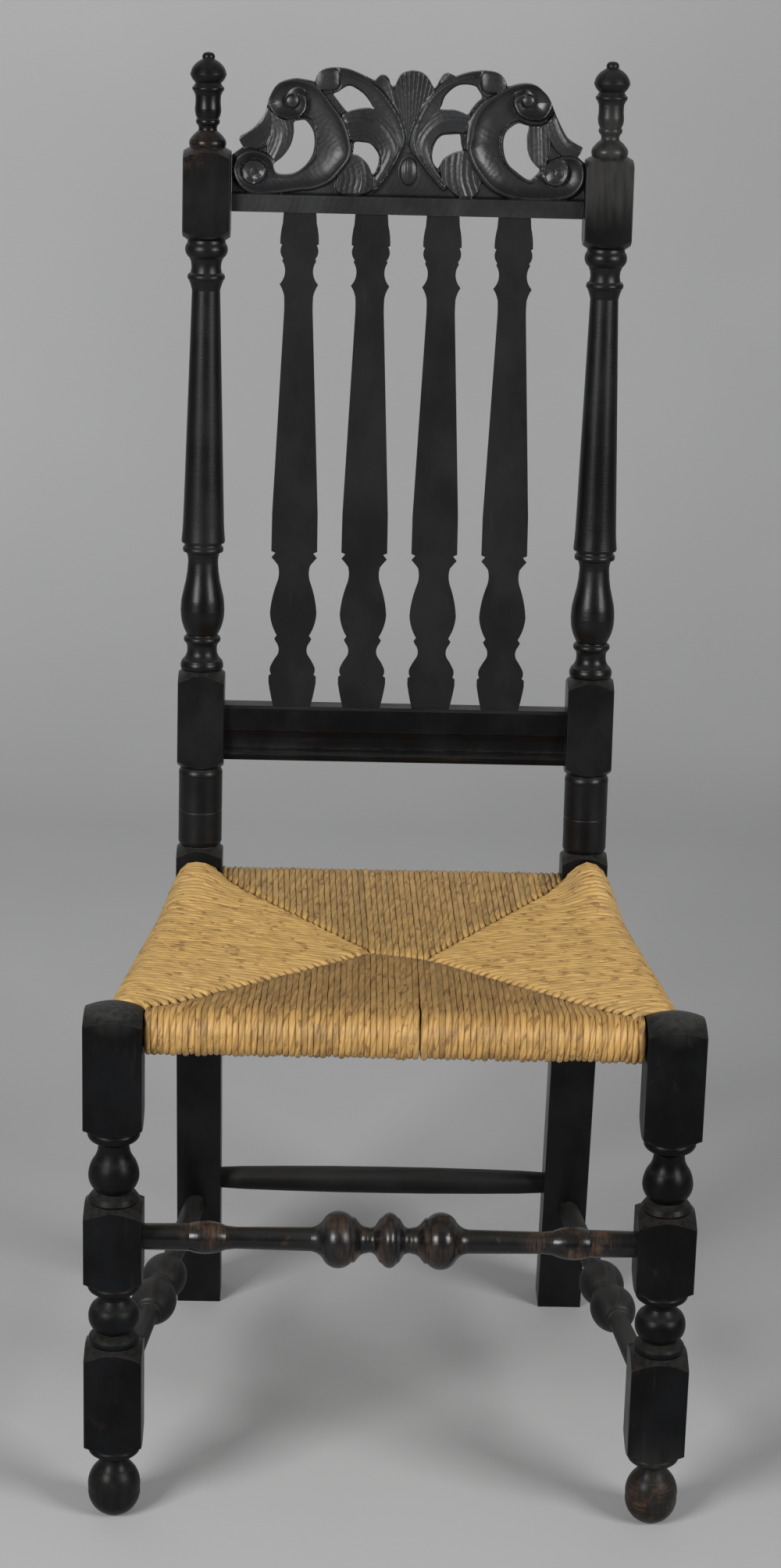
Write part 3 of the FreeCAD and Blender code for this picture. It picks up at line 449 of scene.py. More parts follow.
# What is carved on the board, from the ground up, in heights from its face. A leaf has its edge,
# the line that it rises to (its rim), the heights at and away from that rim, how far the fall
# between them reaches, and its ribs.
carving = {
    "ground": -5.5,
    "shell": {
        "edge": [(-3, 612), (-7, 628), (-13, 648), (-15, 666), (-12, 673), (-5, 681), (3, 682),
                 (12, 680), (19, 670), (20, 655), (13, 642), (6, 628), (3, 612)],
        "root": (0, 598), "flutes": 62, "depth": 0.5, "height": (-4.6, -1.4), "reach": (615, 676),
    },
    "bud": {"centre": (0, 595.5), "half": (8, 12.5), "height": -1.6, "fall": 3.2, "flat": 2.5,
            "ribs": 0.25, "pitch": 3.2, "slope": 0.8, "moat": 2.2, "moatSlope": 1.2,
            "moatHeight": -5.6},
    "base": {"height": -0.6, "groove": 0.8, "grooveWide": 0.7},
    # faint tool marks all over: how deep, waves along and up, and how far the rows wander
    "tooling": {"depth": 0.05, "waves": (0.9, 0.77), "sway": (2, 1.7), "swayWaves": (0.31, 0.23)},
    # how steeply the leaves fall, and the line beside a rim from which their ribs are counted
    "leafSlope": 1.6, "ribsFrom": 100,
    "leaves": [
        # small lobes beside the shell
        {"edge": [(-32, 672), (-27, 677), (-19, 677), (-15, 668), (-12, 655), (-7, 640),
                  (-3, 625), (-9, 628), (-14, 645), (-22, 658)],
         "rim": [(-27, 675), (-20, 668), (-14, 650), (-6, 630)], "height": (-3.2, -4.6),
         "fall": 6, "ribs": 0},
        {"edge": [(23, 664), (26, 677), (33, 681), (40, 677), (30, 668), (20, 655), (12, 640),
                  (5, 625), (2, 628), (8, 645), (17, 658)],
         "rim": [(34, 678), (25, 668), (14, 650), (5, 630)], "height": (-3.2, -4.6),
         "fall": 6, "ribs": 0},
        # arching leaves from the base up and over the upper openings
        {"edge": [(-84, 674), (-80, 662), (-70, 659), (-60, 662), (-52, 667), (-44, 664),
                  (-36, 657), (-30, 647), (-24, 636), (-20, 620), (-22, 600), (-30, 577),
                  (-20, 587), (-13, 600), (-7, 611), (-3, 622), (-6, 636), (-11, 646), (-18, 656),
                  (-26, 665), (-38, 673), (-46, 680), (-60, 684), (-76, 682)],
         "rim": [(-62, 677), (-50, 675), (-40, 671.5), (-28, 664), (-20, 655), (-13, 645),
                 (-8, 635), (-5, 622), (-9, 610), (-14, 600), (-20, 590), (-29, 578)],
         "height": (-0.2, -4.4), "fall": 7, "ribs": 0},
        {"edge": [(84, 674), (82, 664), (72, 658), (63, 660), (56, 668), (46, 670), (36, 667),
                  (28, 658), (25, 648), (20, 640), (16, 625), (20, 605), (33, 582),
                  (30, 580), (20, 590), (10, 602), (1, 614), (1, 626), (6, 640), (14, 656),
                  (24, 668), (38, 677), (48, 682), (64, 684), (78, 682)],
         "rim": [(64, 677), (50, 676), (38, 672), (26, 665), (17, 655), (9, 640), (4, 625),
                 (5, 614), (12, 603), (21, 592), (31, 583)],
         "height": (-0.4, -4.2), "fall": 7, "ribs": 0},
        # inner leaves that curl down round the middle openings
        {"edge": [(-58, 640), (-53, 645), (-45, 648), (-34, 649), (-27, 646), (-18, 638),
                  (-12, 628), (-9, 617), (-13, 604), (-20, 592), (-28, 579), (-32, 586),
                  (-28, 592), (-24, 600), (-25, 610), (-31, 617), (-40, 620), (-50, 621)],
         "rim": [(-52, 636), (-40, 637), (-28, 633), (-19, 623), (-15, 612), (-19, 600),
                 (-26, 588)], "height": (-1.3, -3.6), "fall": 8, "ribs": 0.32, "pitch": 3.4},
        {"edge": [(57, 640), (50, 646), (40, 650), (30, 650), (22, 645), (12, 634), (6, 622),
                  (10, 608), (20, 594), (31, 582), (30, 588), (22, 600), (18, 610), (20, 619),
                  (26, 627), (36, 629), (47, 629), (50, 634)],
         "rim": [(52, 638), (40, 640), (28, 638), (18, 630), (12, 618), (15, 606), (24, 593)],
         "height": (-1.3, -3.6), "fall": 8, "ribs": 0.32, "pitch": 3.4},
        # fans between the inner leaves and the scrolls
        {"edge": [(-53, 612), (-46, 610), (-38, 607), (-32, 600), (-29, 590), (-30, 580),
                  (-42, 575), (-60, 577), (-60, 592)],
         "rim": [(-46, 608), (-41, 600), (-39, 588), (-41, 577)], "height": (-1.8, -3.8),
         "fall": 12, "ribs": 0.22, "pitch": 4.6},
        {"edge": [(27, 604), (34, 611), (46, 615), (54, 610), (62, 592), (58, 577), (46, 574),
                  (33, 583), (28, 592)],
         "rim": [(44, 613), (43, 600), (44, 588), (48, 576)], "height": (-1.4, -3.6),
         "fall": 12, "ribs": 0.55, "pitch": 5.0},
        # flaring leaves on the outer sides: a smooth lobe and a ribbed one
        {"edge": [(-122, 650), (-130, 633), (-146, 624), (-146, 616), (-140, 612), (-128, 612),
                  (-119, 616), (-114, 630), (-113, 645)],
         "rim": [(-119, 646), (-126, 633), (-143, 620)], "height": (-1.6, -4.4), "fall": 12,
         "ribs": 0.25, "pitch": 5},
        {"edge": [(-118, 646), (-104, 640), (-96, 637), (-96, 622), (-102, 608), (-115, 598),
                  (-119, 604), (-121, 613), (-118, 622), (-116, 632)],
         "rim": [(-112, 642), (-107, 628), (-109, 615), (-115, 602)], "height": (-1.2, -3.4),
         "fall": 9, "ribs": 0.2, "pitch": 3.2},
        {"edge": [(99, 636), (104, 637), (118, 638), (120, 624), (119, 610), (113, 599),
                  (106, 603), (100, 616)],
         "rim": [(110, 637), (111, 622), (112, 604)], "height": (-1.8, -3.6), "fall": 9,
         "ribs": 0.2, "pitch": 4},
        {"edge": [(118, 645), (124, 652), (129, 640), (136, 628), (150, 620), (144, 608),
                  (131, 611), (122, 620), (117, 634)],
         "rim": [(121, 641), (126, 629), (134, 619), (145, 615)], "height": (-1.0, -3.2),
         "fall": 8, "ribs": 0.25, "pitch": 3.4},
    ],
    # square cushions on the peaks, each with a groove round it
    "knobs": [
        {"centre": (-70.3, 671.5), "half": (10.2, 9.5)},
        {"centre": (70.8, 672.5), "half": (10.6, 9.5)},
    ],
    "knob": {"reach": 14, "square": 3, "height": -0.5, "fall": 1.9, "flat": 3, "groove": 1.0,
             "grooveAt": 1.06, "grooveWide": 0.12},
    # a channel falls from the scroll's rim; the strip beside it is nearly flat
    "rimHeight": -0.4, "stripFall": 0.06, "stripSoften": 0.5, "coilSoften": 0.8,
    "scrolls": [
        {
            "edge": [(-152, 606), (-146, 610), (-139, 613), (-128, 611), (-118, 606), (-113, 598),
                     (-110, 588), (-100, 588), (-90, 594), (-80, 604), (-78, 616), (-78, 626),
                     (-83, 637), (-92, 639), (-105, 637), (-114, 641), (-121, 648), (-122, 660),
                     (-112, 671), (-96, 674), (-83, 669), (-75, 661.5), (-66, 650.5),
                     (-58, 640.5), (-53, 630.5), (-50, 620), (-48.5, 612), (-50, 605),
                     (-57, 595), (-66, 585), (-80, 579), (-92, 577.5), (-120, 573.5),
                     (-135, 574.5), (-147, 583), (-152, 594)],
            "rim": [(-119.5, 648.5), (-118.5, 656), (-113.5, 664), (-106, 668.6), (-96, 669.8),
                    (-84, 667), (-75, 660.5), (-67, 650), (-59.5, 640), (-54.5, 630),
                    (-51.5, 620), (-50.5, 612), (-52, 605), (-58.5, 596), (-67, 587), (-80, 581),
                    (-92, 579.5), (-120, 575.5), (-134, 576.5), (-144, 583.5), (-148, 594),
                    (-144.5, 603.5), (-136, 609), (-126, 609), (-118, 604.5), (-114.5, 597.5)],
            "strip": [(-84, 671), (-84, 668), (-75, 661.5), (-67, 651), (-60, 641), (-53, 637),
                      (-58, 650), (-70, 663)],
            "channel": 8.0, "spread": 7.0,
            "coils": [
                {"loop": [(-119.5, 648), (-113.5, 640.5), (-103.5, 637.3), (-93.5, 639), (-88, 645),
                          (-87, 651.5), (-88, 658), (-92, 665), (-98, 671), (-110, 670),
                          (-119, 660)],
                 "ridge": [(-119.5, 648.5), (-113.3, 641), (-103.3, 638), (-93.8, 639.8),
                           (-88.8, 645.9), (-88, 651.9), (-90.4, 656.4), (-94.3, 658)],
                 "open": True, "top": 0.5, "depth": 8.0, "spread": 7.0,
                 "button": {"centre": (-99.7, 652.2), "radius": 5.8, "height": -1.2, "drop": 2.4}},
                {"loop": [(-141.8, 593), (-139, 600), (-132, 602.8), (-125, 601), (-120.8, 595),
                          (-121.5, 588), (-126, 583.2), (-132.5, 582), (-139, 585)],
                 "ridge": [(-133, 583), (-139, 586), (-141, 593), (-138.5, 599.5), (-132, 602),
                           (-125.5, 600), (-122, 594.5), (-123.5, 589), (-128, 586.8)],
                 "open": False, "top": 1.3, "depth": 2.6, "spread": 4.0,
                 "button": {"centre": (-131, 592), "radius": 4.5, "height": -2.7, "drop": 0.7}},
            ],
        },
        {
            "edge": [(152, 606), (143, 611), (131, 612), (120, 607), (113, 599), (106, 588),
                     (98, 590), (88, 597), (80, 607), (78, 617), (78, 626), (84, 636), (92, 640),
                     (102, 637), (112, 637), (120, 644), (123, 652), (118, 661), (110, 670),
                     (96, 673), (84, 669), (75, 663.5), (63, 657), (55, 648), (50, 639),
                     (48, 625), (48.5, 615), (52, 605), (58, 594.5), (67, 584), (78, 577.5),
                     (95, 573), (120, 573), (140, 577), (152, 590)],
            "rim": [(121, 655.5), (116.5, 663.5), (109.5, 669.3), (100, 671.3), (92, 670),
                    (84, 667.4), (73.4, 661.4), (60.5, 649.4), (54.5, 636.2), (52.8, 625.3),
                    (51.5, 615.5), (55, 605), (61, 595.5), (69.5, 586), (79, 580),
                    (95, 575.5), (118, 575), (138, 579), (147, 588), (148.3, 600),
                    (143.5, 608), (134.6, 610.5), (124, 608), (116.3, 602.8), (112.6, 596.5)],
            "strip": [(84, 672), (84, 668), (73, 662), (60, 650), (54, 637), (52.2, 626),
                      (51, 615), (46, 614), (45, 625), (48, 640), (53, 650), (61, 659), (74, 667)],
            "channel": 8.4, "spread": 7.0,
            "coils": [
                {"loop": [(121, 655.5), (117.3, 645.3), (109.5, 640.7), (100.4, 641.3), (92, 645.5),
                          (87.6, 654), (88, 662), (92, 671), (101, 673), (112, 669.5), (119, 662)],
                 "ridge": [(120.6, 655.5), (116.6, 645.9), (109.2, 641.6), (100.6, 642.4),
                           (92.9, 646.3), (88.7, 654.2), (90.8, 658.8), (95.9, 661.6)],
                 "open": True, "top": 0.5, "depth": 8.0, "spread": 7.0,
                 "button": {"centre": (100.2, 657), "radius": 5.6, "height": -0.9, "drop": 2.4}},
                {"loop": [(131, 608), (135.6, 603), (136.4, 597), (134.5, 591), (130.5, 587),
                          (124.4, 585.8), (117.5, 588.2), (113.3, 594), (114.5, 601),
                          (119.5, 606), (125.5, 608.6)],
                 "ridge": [(122.5, 607.5), (130, 607), (134.3, 602.5), (135.2, 597), (133.4, 591.8),
                           (129.8, 588.2), (124.6, 587.2), (119, 589.2), (116.5, 594)],
                 "open": False, "top": 1.2, "depth": 2.8, "spread": 4.0,
                 "button": {"centre": (128.3, 596), "radius": 4.6, "height": -1.9, "drop": 1.3}},
            ],
        },
    ],
}


def nearest(points, path):
    # Distance from each point to a line of points, and the side that it lies on.
    best = np.full(len(points), 1e9)
    side = np.zeros(len(points))
    for a, b in zip(path, path[1:]):
        ab = b - a
        length = max(math.hypot(*ab), 1e-9)
        t = np.clip(((points - a) @ ab) / length ** 2, 0, 1)
        gap = points - (a + t[:, None] * ab)
        distance = np.hypot(gap[:, 0], gap[:, 1])
        closer = distance < best
        best[closer] = distance[closer]
        cross = ab[0] * gap[:, 1] - ab[1] * gap[:, 0]
        side[closer] = np.sign(cross[closer])
    return best, side


def eased(share):
    share = np.clip(share, 0, 1)
    return share * share * (3 - 2 * share)


def insideOf(points, loop):
    # Even-odd test of each point against a closed loop.
    x, y = points[:, 0], points[:, 1]
    inside = np.zeros(len(points), bool)
    for a, b in zip(loop, np.roll(loop, -1, axis=0)):
        if a[1] == b[1]:
            continue
        crosses = (a[1] > y) != (b[1] > y)
        inside ^= crosses & (x < (b[0] - a[0]) * (y - a[1]) / (b[1] - a[1]) + a[0])
    return inside


def cover(points, edge, soften):
    # 1 inside a field's edge, 0 outside it, with a soft step between.
    loop = smoothPath(edge, step=2.0, closed=True)
    gap = nearest(points, np.vstack([loop, loop[:1]]))[0]
    signed = np.where(insideOf(points, loop), gap, -gap)
    return eased(0.5 + signed / (2 * soften))


def closeTo(points, edge, margin=2.0):
    # The points in the box round an edge, so that each field is worked out only where it is.
    low, high = np.min(edge, axis=0) - margin, np.max(edge, axis=0) + margin
    return np.where(((points > low) & (points < high)).all(axis=1))[0]


def rounded(distance, radius=0.9):
    # The distance from a ridge, with the ridge's top rounded over.
    return np.sqrt(distance ** 2 + radius ** 2) - radius


def ribbed(distance, pitch, depth, fullness=0.6):
    # Rounded ribs with narrow cuts between them.
    return depth * (np.abs(np.cos(math.pi * distance / pitch)) ** fullness - 1)


def carveScroll(points, scroll):
    # A scoop falls from the rim and flattens towards the opening; the rim winds on as the ridge
    # of each coil, round a button.
    rim = rounded(nearest(points, smoothPath(scroll["rim"], step=1.5))[0])
    height = carving["rimHeight"] - scroll["channel"] * (1 - np.exp(-rim / scroll["spread"]))
    strip = carving["rimHeight"] - carving["stripFall"] * rim ** 2
    height += (strip - height) * cover(points, scroll["strip"], carving["stripSoften"])
    for coil in scroll["coils"]:
        ridge = rounded(nearest(points, smoothPath(coil["ridge"], step=1.0))[0])
        if coil["open"]:
            ridge = np.minimum(ridge, rim)
        face = -coil["top"] - coil["depth"] * (1 - np.exp(-ridge / coil["spread"]))
        height += (face - height) * cover(points, coil["loop"], carving["coilSoften"])
        button = coil["button"]
        away = np.hypot(*(points - button["centre"]).T) / button["radius"]
        dome = button["height"] - button["drop"] * (1 - np.sqrt(np.clip(1 - away ** 2, 0, 1)))
        height = np.where(away < 1, np.maximum(height, dome), height)
    return height


def carve(points):
    # Height of the carved front at each point, 0 at the board's face and negative behind it.
    x, up = points[:, 0], points[:, 1]
    soften = crest["soften"]
    height = np.full(len(points), carving["ground"])

    shell = carving["shell"]
    angle = np.arctan2(x - shell["root"][0], up - shell["root"][1])
    rise = np.clip((up - shell["reach"][0]) / (shell["reach"][1] - shell["reach"][0]), 0, 1)
    low, high = shell["height"]
    face = low + (high - low) * rise + ribbed(angle * shell["flutes"], math.pi, shell["depth"])
    height += (face - height) * cover(points, shell["edge"], soften)

    for leaf in carving["leaves"]:
        here = closeTo(points, leaf["edge"])
        gap, side = nearest(points[here], smoothPath(leaf["rim"], step=2.0))
        high, low = leaf["height"]
        face = high + (low - high) * (1 - np.exp(-gap / leaf["fall"] * carving["leafSlope"]))
        if leaf["ribs"]:
            face += ribbed(gap * side + carving["ribsFrom"], leaf["pitch"], leaf["ribs"])
        height[here] += (face - height[here]) * cover(points[here], leaf["edge"], soften)

    shape = carving["knob"]
    for knob in carving["knobs"]:
        reach, power = shape["reach"], shape["square"]
        here = closeTo(points, [np.subtract(knob["centre"], reach), np.add(knob["centre"], reach)])
        away = np.abs(points[here] - knob["centre"]) / knob["half"]
        out = (away ** power).sum(axis=1) ** (1 / power)
        groove = np.clip(1 - np.abs(out - shape["grooveAt"]) / shape["grooveWide"], 0, 1)
        face = shape["height"] - shape["fall"] * np.clip(out, 0, 1) ** shape["flat"]
        height[here] = np.where(out < 1, face, height[here] - shape["groove"] * groove)

    for scroll in carving["scrolls"]:
        here = closeTo(points, scroll["edge"])
        face = carveScroll(points[here], scroll)
        height[here] += (face - height[here]) * cover(points[here], scroll["edge"], soften)

    bud = carving["bud"]
    wide, tall = bud["half"]
    oval = np.hypot((x - bud["centre"][0]) / wide, (up - bud["centre"][1]) / tall)
    inMoat = np.clip((1 + bud["moat"] / wide - oval) * wide / bud["moatSlope"], 0, 1)
    height += (bud["moatHeight"] - height) * inMoat
    dome = bud["height"] - bud["fall"] * np.clip(oval, 0, 1) ** bud["flat"]
    dome += ribbed(x, bud["pitch"], bud["ribs"])
    height += (dome - height) * np.clip((1 - oval) * wide / bud["slope"], 0, 1)

    base = carving["base"]
    inBase = np.clip((crest["base"] + soften - up) / (2 * soften), 0, 1)
    height += (base["height"] - height) * inBase
    height -= base["groove"] * np.exp(-((up - crest["base"]) / base["grooveWide"]) ** 2)
    tooling = carving["tooling"]
    rows = x * tooling["waves"][0] + tooling["sway"][0] * np.sin(up * tooling["swayWaves"][0])
    ranks = up * tooling["waves"][1] + tooling["sway"][1] * np.sin(x * tooling["swayWaves"][1])
    return height + tooling["depth"] * (np.sin(rows) * np.sin(ranks))


def crestPlace(x, up, depth):
    # From the board's own measures to the chair's frame; depth runs from its face to the back.
    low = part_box("crest_rail")[0]
    sine, cosine = math.sin(crest["lean"]), math.cos(crest["lean"])
    rise = (np.asarray(up) - crest["low"]) * mm
    depth = np.asarray(depth) * mm
    y = low.y + rise * sine + depth * cosine
    z = low.z + crest["thickness"] * mm * sine + rise * cosine - depth * sine
    return np.column_stack([np.asarray(x) * mm, y, z])


def onBoard(points, loops):
    # Inside the first loop, the outline, and outside the others, the openings.
    inside = insideOf(points, loops[0])
    for loop in loops[1:]:
        inside &= ~insideOf(points, loop)
    return inside


def boardTriangles(points, edges, loops):
    # Triangles between the points that keep to the given edges, all turned the same way.
    result = delaunay_2d_cdt([Vector(p) for p in points], edges, [], 0, 1e-6)
    faces, origin = result[2], result[3]
    where = [o[0] for o in origin]
    faces = np.array([[where[i] for i in face] for face in faces])
    faces = faces[onBoard(points[faces].mean(axis=1), loops)]
    a, b, c = points[faces[:, 0]], points[faces[:, 1]], points[faces[:, 2]]
    turn = (b[:, 0] - a[:, 0]) * (c[:, 1] - a[:, 1]) - (b[:, 1] - a[:, 1]) * (c[:, 0] - a[:, 0])
    faces[turn < 0] = faces[turn < 0][:, ::-1]
    return faces


def makeCrest():
    edgeStep, pitch, half = crest["edgeStep"], crest["pitch"], crest["half"]
    outer = np.vstack([smoothPath(stroke, edgeStep) for stroke in crest["outline"]])
    apart = np.hypot(*(outer - np.roll(outer, 1, axis=0)).T)
    loops = [outer[apart > crest["closest"]]]
    loops += [smoothPath(opening, edgeStep, closed=True) for opening in crest["openings"]]
    across = np.arange(-half, half, pitch)
    gridX, gridUp = np.meshgrid(across, np.arange(crest["low"], crest["high"], pitch))
    gridX[::2] += pitch / 2
    grid = np.column_stack([gridX.ravel(), gridUp.ravel()])
    inside = onBoard(grid, loops)
    for loop in loops:
        inside &= nearest(grid, np.vstack([loop, loop[:1]]))[0] > pitch * crest["clear"]

    flat = np.vstack(loops + [grid[inside]])
    edges, start = [], 0
    for loop in loops:
        count = len(loop)
        edges += [(start + i, start + (i + 1) % count) for i in range(count)]
        start += count
    rim = flat[:start]

    # carved front, plain back and the walls between them
    front = boardTriangles(flat, edges, loops)
    back = boardTriangles(rim, edges, loops)[:, ::-1]
    height = np.minimum(carve(flat), 0)
    points = [crestPlace(flat[:, 0], flat[:, 1], -height)]
    points.append(crestPlace(rim[:, 0], rim[:, 1], np.full(len(rim), crest["thickness"])))
    shift = len(flat)
    faces = [tuple(f) for f in front] + [tuple(f + shift) for f in back]
    for a, b in edges:
        faces.append((b, a, a + shift, b + shift))
    piece = pieceFromMesh("crest_carved", np.vstack(points), faces, crestPaint,
                          ["crest_rail"])
    facesOutward(piece)
    bpy.ops.object.shade_smooth_by_angle(angle=math.radians(crest["sharp"]))


makeCrest()
print("crest carved")


# Rush seat: strands wound over four bars, each panel a row of strands that ends at the seams

# In millimetres in the chair's frame.
rush = {
    # spacing of the strands, heights of the seat's two faces, and how far a strand rolls past a bar
    "pitch": 5.08, "top": 459.3, "bottom": 425.0, "roll": 17.0,
    # outer lines of the bars, and half the width of the front and rear panels along them
    "frontY": -213.6, "rearY": 140.6, "sideFront": (-233.0, -175.7), "sideRear": (-189.5, 103.0),
    "frontHalf": 199.5, "rearHalf": 149.0,
    # the seams run from the four corners to two places near the middle
    "leftApex": (-18.5, -65.8), "rightApex": (27.2, -79.3),
    "leftFront": (-199.0, -198.5), "rightFront": (190.0, -198.5),
    "leftRear": (-151.0, 101.5), "rightRear": (151.0, 101.5),
    # how strands meet the seams: front ones close in, rear ones lean, and side ones are shared out
    # before and after the middle place, a little crowded
    "gather": 0.97, "skew": 0.025, "apexShare": 0.52, "crowd": (0.9, 1.05), "bendPoints": 9,
    # a narrow gap in the front panel, and how many strands make room for it
    "splitX": 19.6, "splitWide": 1.3, "splitReach": 3,
    # a strand is a tube with this many sides and rings this far apart; it dives into the seam over
    # diveRun, or all along when it is shorter than short, and rolls round the bar in rollSteps
    "sides": 8, "ringStep": 6.0, "dive": 3.4, "diveRun": 4.0, "short": 6, "rollSteps": 8,
    # how uneven strands are: sideways bends, slack under the bar and the rings that it fades over,
    # thickness, and the waves along each strand
    "sway": 0.25, "sideSway": 0.4, "tight": -0.3, "frontSlack": 1.6, "slack": 0.8, "slackRings": 3,
    "thinnest": 0.94, "thickest": 1.07, "wave": (24, 40), "swayWave": 1.7, "swell": 0.07,
    "roughness": 0.03, "tip": 0.6,
    # a full turn in radians, rounded, for those waves
    "fullTurn": 6.28,
    # where the sides swell beside the rear posts: place and height, and how wide that is
    "humps": [(-171, 93, 14), (176, 95, 21)], "humpWide": (15, 34),
}

rushLook = {
    # turns of the twist in a metre
    "twist": 14.0,
    # cells in a metre of strand, cells round it, and how far the pattern shifts between strands
    "fibres": (26.0, 7.0, 37.0), "dashes": (85.0, 3.0, 61.0),
    # cells of the stains in a metre
    "patches": (48, 48, 48),
    # where in its pattern's range each tone begins and ends, and its strength at each
    "lightFibres": (0.38, 0.62), "lightStrands": (0.45, 1.0, 0.0, 0.4),
    "dullStrands": (0.0, 0.4, 0.36, 0.0), "stains": (0.50, 0.72, 0.0, 0.45),
    # the first range after the flecks' neighbour is painted glints: short dashes of the light tone
    # where strands shine
    "glintDashes": (0.30, 0.42, 0.45, 0.0), "flecks": (0.57, 0.66, 0.0, 0.7),
    "rough": (0.2, 0.8, 0.60, 0.46), "shine": 0.42,
    # bumps as strength and depth in metres
    "fibreBump": (0.6, 0.0009), "dashBump": (0.3, 0.0006),
}


def rushMaterial(name, light, dark, stain, fleck, backDarkening=None):
    # Twisted rush: long fibres that turn round the strand, with a tone of its own for each strand.
    # The last argument gives two places, front to back, between which the strands grow darker
    # towards the back, and the strength at each.
    material, tree, shader = newMaterial(name)
    uv = add(tree, "UVMap", uv_map="strand").outputs[0]
    place = objectPlace(tree)
    tone = add(tree, "Attribute", attribute_name="strandTone").outputs["Fac"]
    strandAxes = axes(tree, uv)
    along, around = strandAxes[0], strandAxes[1]
    turned = math2(tree, "ADD", around, math2(tree, "MULTIPLY", along, rushLook["twist"]))

    def onStrand(lengthwise, across, shift):
        joined = add(tree, "CombineXYZ")
        wire(tree, math2(tree, "MULTIPLY", along, lengthwise), joined.inputs[0])
        wire(tree, math2(tree, "MULTIPLY", turned, across), joined.inputs[1])
        wire(tree, math2(tree, "MULTIPLY", tone, shift), joined.inputs[2])
        return joined.outputs[0]

    fibres = noise(tree, onStrand(*rushLook["fibres"]), (1, 1, 1), 4, 0.6, 0.15)
    dashes = noise(tree, onStrand(*rushLook["dashes"]), (1, 1, 1), 3, 0.55)
    patches = noise(tree, place, rushLook["patches"], 4, 0.6)
    stainsAndDarkening = between(tree, patches, *rushLook["stains"])
    if backDarkening:
        # darker towards the back of the panel, along y, on top of the stains
        stainsAndDarkening = math2(tree, "MAXIMUM", stainsAndDarkening, between(tree, axes(tree, place)[1], *backDarkening))
    colour = blendColour(tree, between(tree, fibres, *rushLook["lightFibres"]), dark, light)
    colour = blendColour(tree, between(tree, tone, *rushLook["lightStrands"]), colour, light)
    colour = blendColour(tree, between(tree, tone, *rushLook["dullStrands"]), colour, stain)
    colour = blendColour(tree, stainsAndDarkening, colour, stain)
    # painted glints: short dashes of the light tone
    colour = blendColour(tree, between(tree, dashes, *rushLook["glintDashes"]), colour, light)
    colour = blendColour(tree, between(tree, dashes, *rushLook["flecks"]), colour, fleck)
    wire(tree, colour, shader.inputs["Base Color"])
    wire(tree, between(tree, fibres, *rushLook["rough"]), shader.inputs["Roughness"])
    shader.inputs["Specular IOR Level"].default_value = rushLook["shine"]
    bumps(tree, shader, [(fibres, *rushLook["fibreBump"]), (dashes, *rushLook["dashBump"])])
    return material


def swelling(x, y):
    # How far the seat is raised at a place, in millimetres.
    wideX, wideY = rush["humpWide"]
    return sum(high * math.exp(-((x - hx) / wideX) ** 2 / 2 - ((y - hy) / wideY) ** 2 / 2)
               for hx, hy, high in rush["humps"])


def strandPath(plan, outward, drop=0.0, swells=False):
    # plan runs on the flat from the seam to the bar's outer edge; the strand then rolls under the
    # bar and goes back below. outward is the direction in which it leaves the edge, and drop is
    # how far it hangs slack under the bar.
    roll, top, bottom = rush["roll"], rush["top"], rush["bottom"]
    dive, diveRun, rollSteps = rush["dive"], rush["diveRun"], rush["rollSteps"]
    middle = (top + bottom) / 2
    plan = np.array(plan, float)
    steps = np.hypot(*(plan[1:] - plan[:-1]).T)
    run = np.concatenate([[0], np.cumsum(steps)])
    length = run[-1]
    count = max(3, int(length / rush["ringStep"]))
    at = np.linspace(0, length, count + 1)
    flat = np.column_stack([np.interp(at, run, plan[:, i]) for i in (0, 1)])
    path = []
    for distance, (x, y) in zip(at, flat):
        lift = swelling(x, y) if swells else 0.0
        tuck = math.exp(-(distance / diveRun) ** 2) if length > rush["short"] else 1.0
        path.append((x, y, top + lift - (dive + lift) * tuck))
    out = np.array(outward) / math.hypot(*outward)
    edge = flat[-1]
    edgeTop = path[-1][2]
    for i in range(1, rollSteps):
        turn = math.radians(180 * i / rollSteps)
        reach = roll * math.sin(turn)
        level = middle + (top - bottom) / 2 * math.cos(turn)
        level += (edgeTop - top) * (1 + math.cos(turn)) / 2 - drop * math.sin(turn / 2)
        path.append((*(edge + out * reach), level))
    below = flat[::-1][::2]
    for i, (x, y) in enumerate(below):
        distance = math.dist((x, y), flat[0])
        rise = dive * math.exp(-(distance / diveRun) ** 2)
        path.append((x, y, bottom + rise - drop * max(0, 1 - i / rush["slackRings"])))
    return path


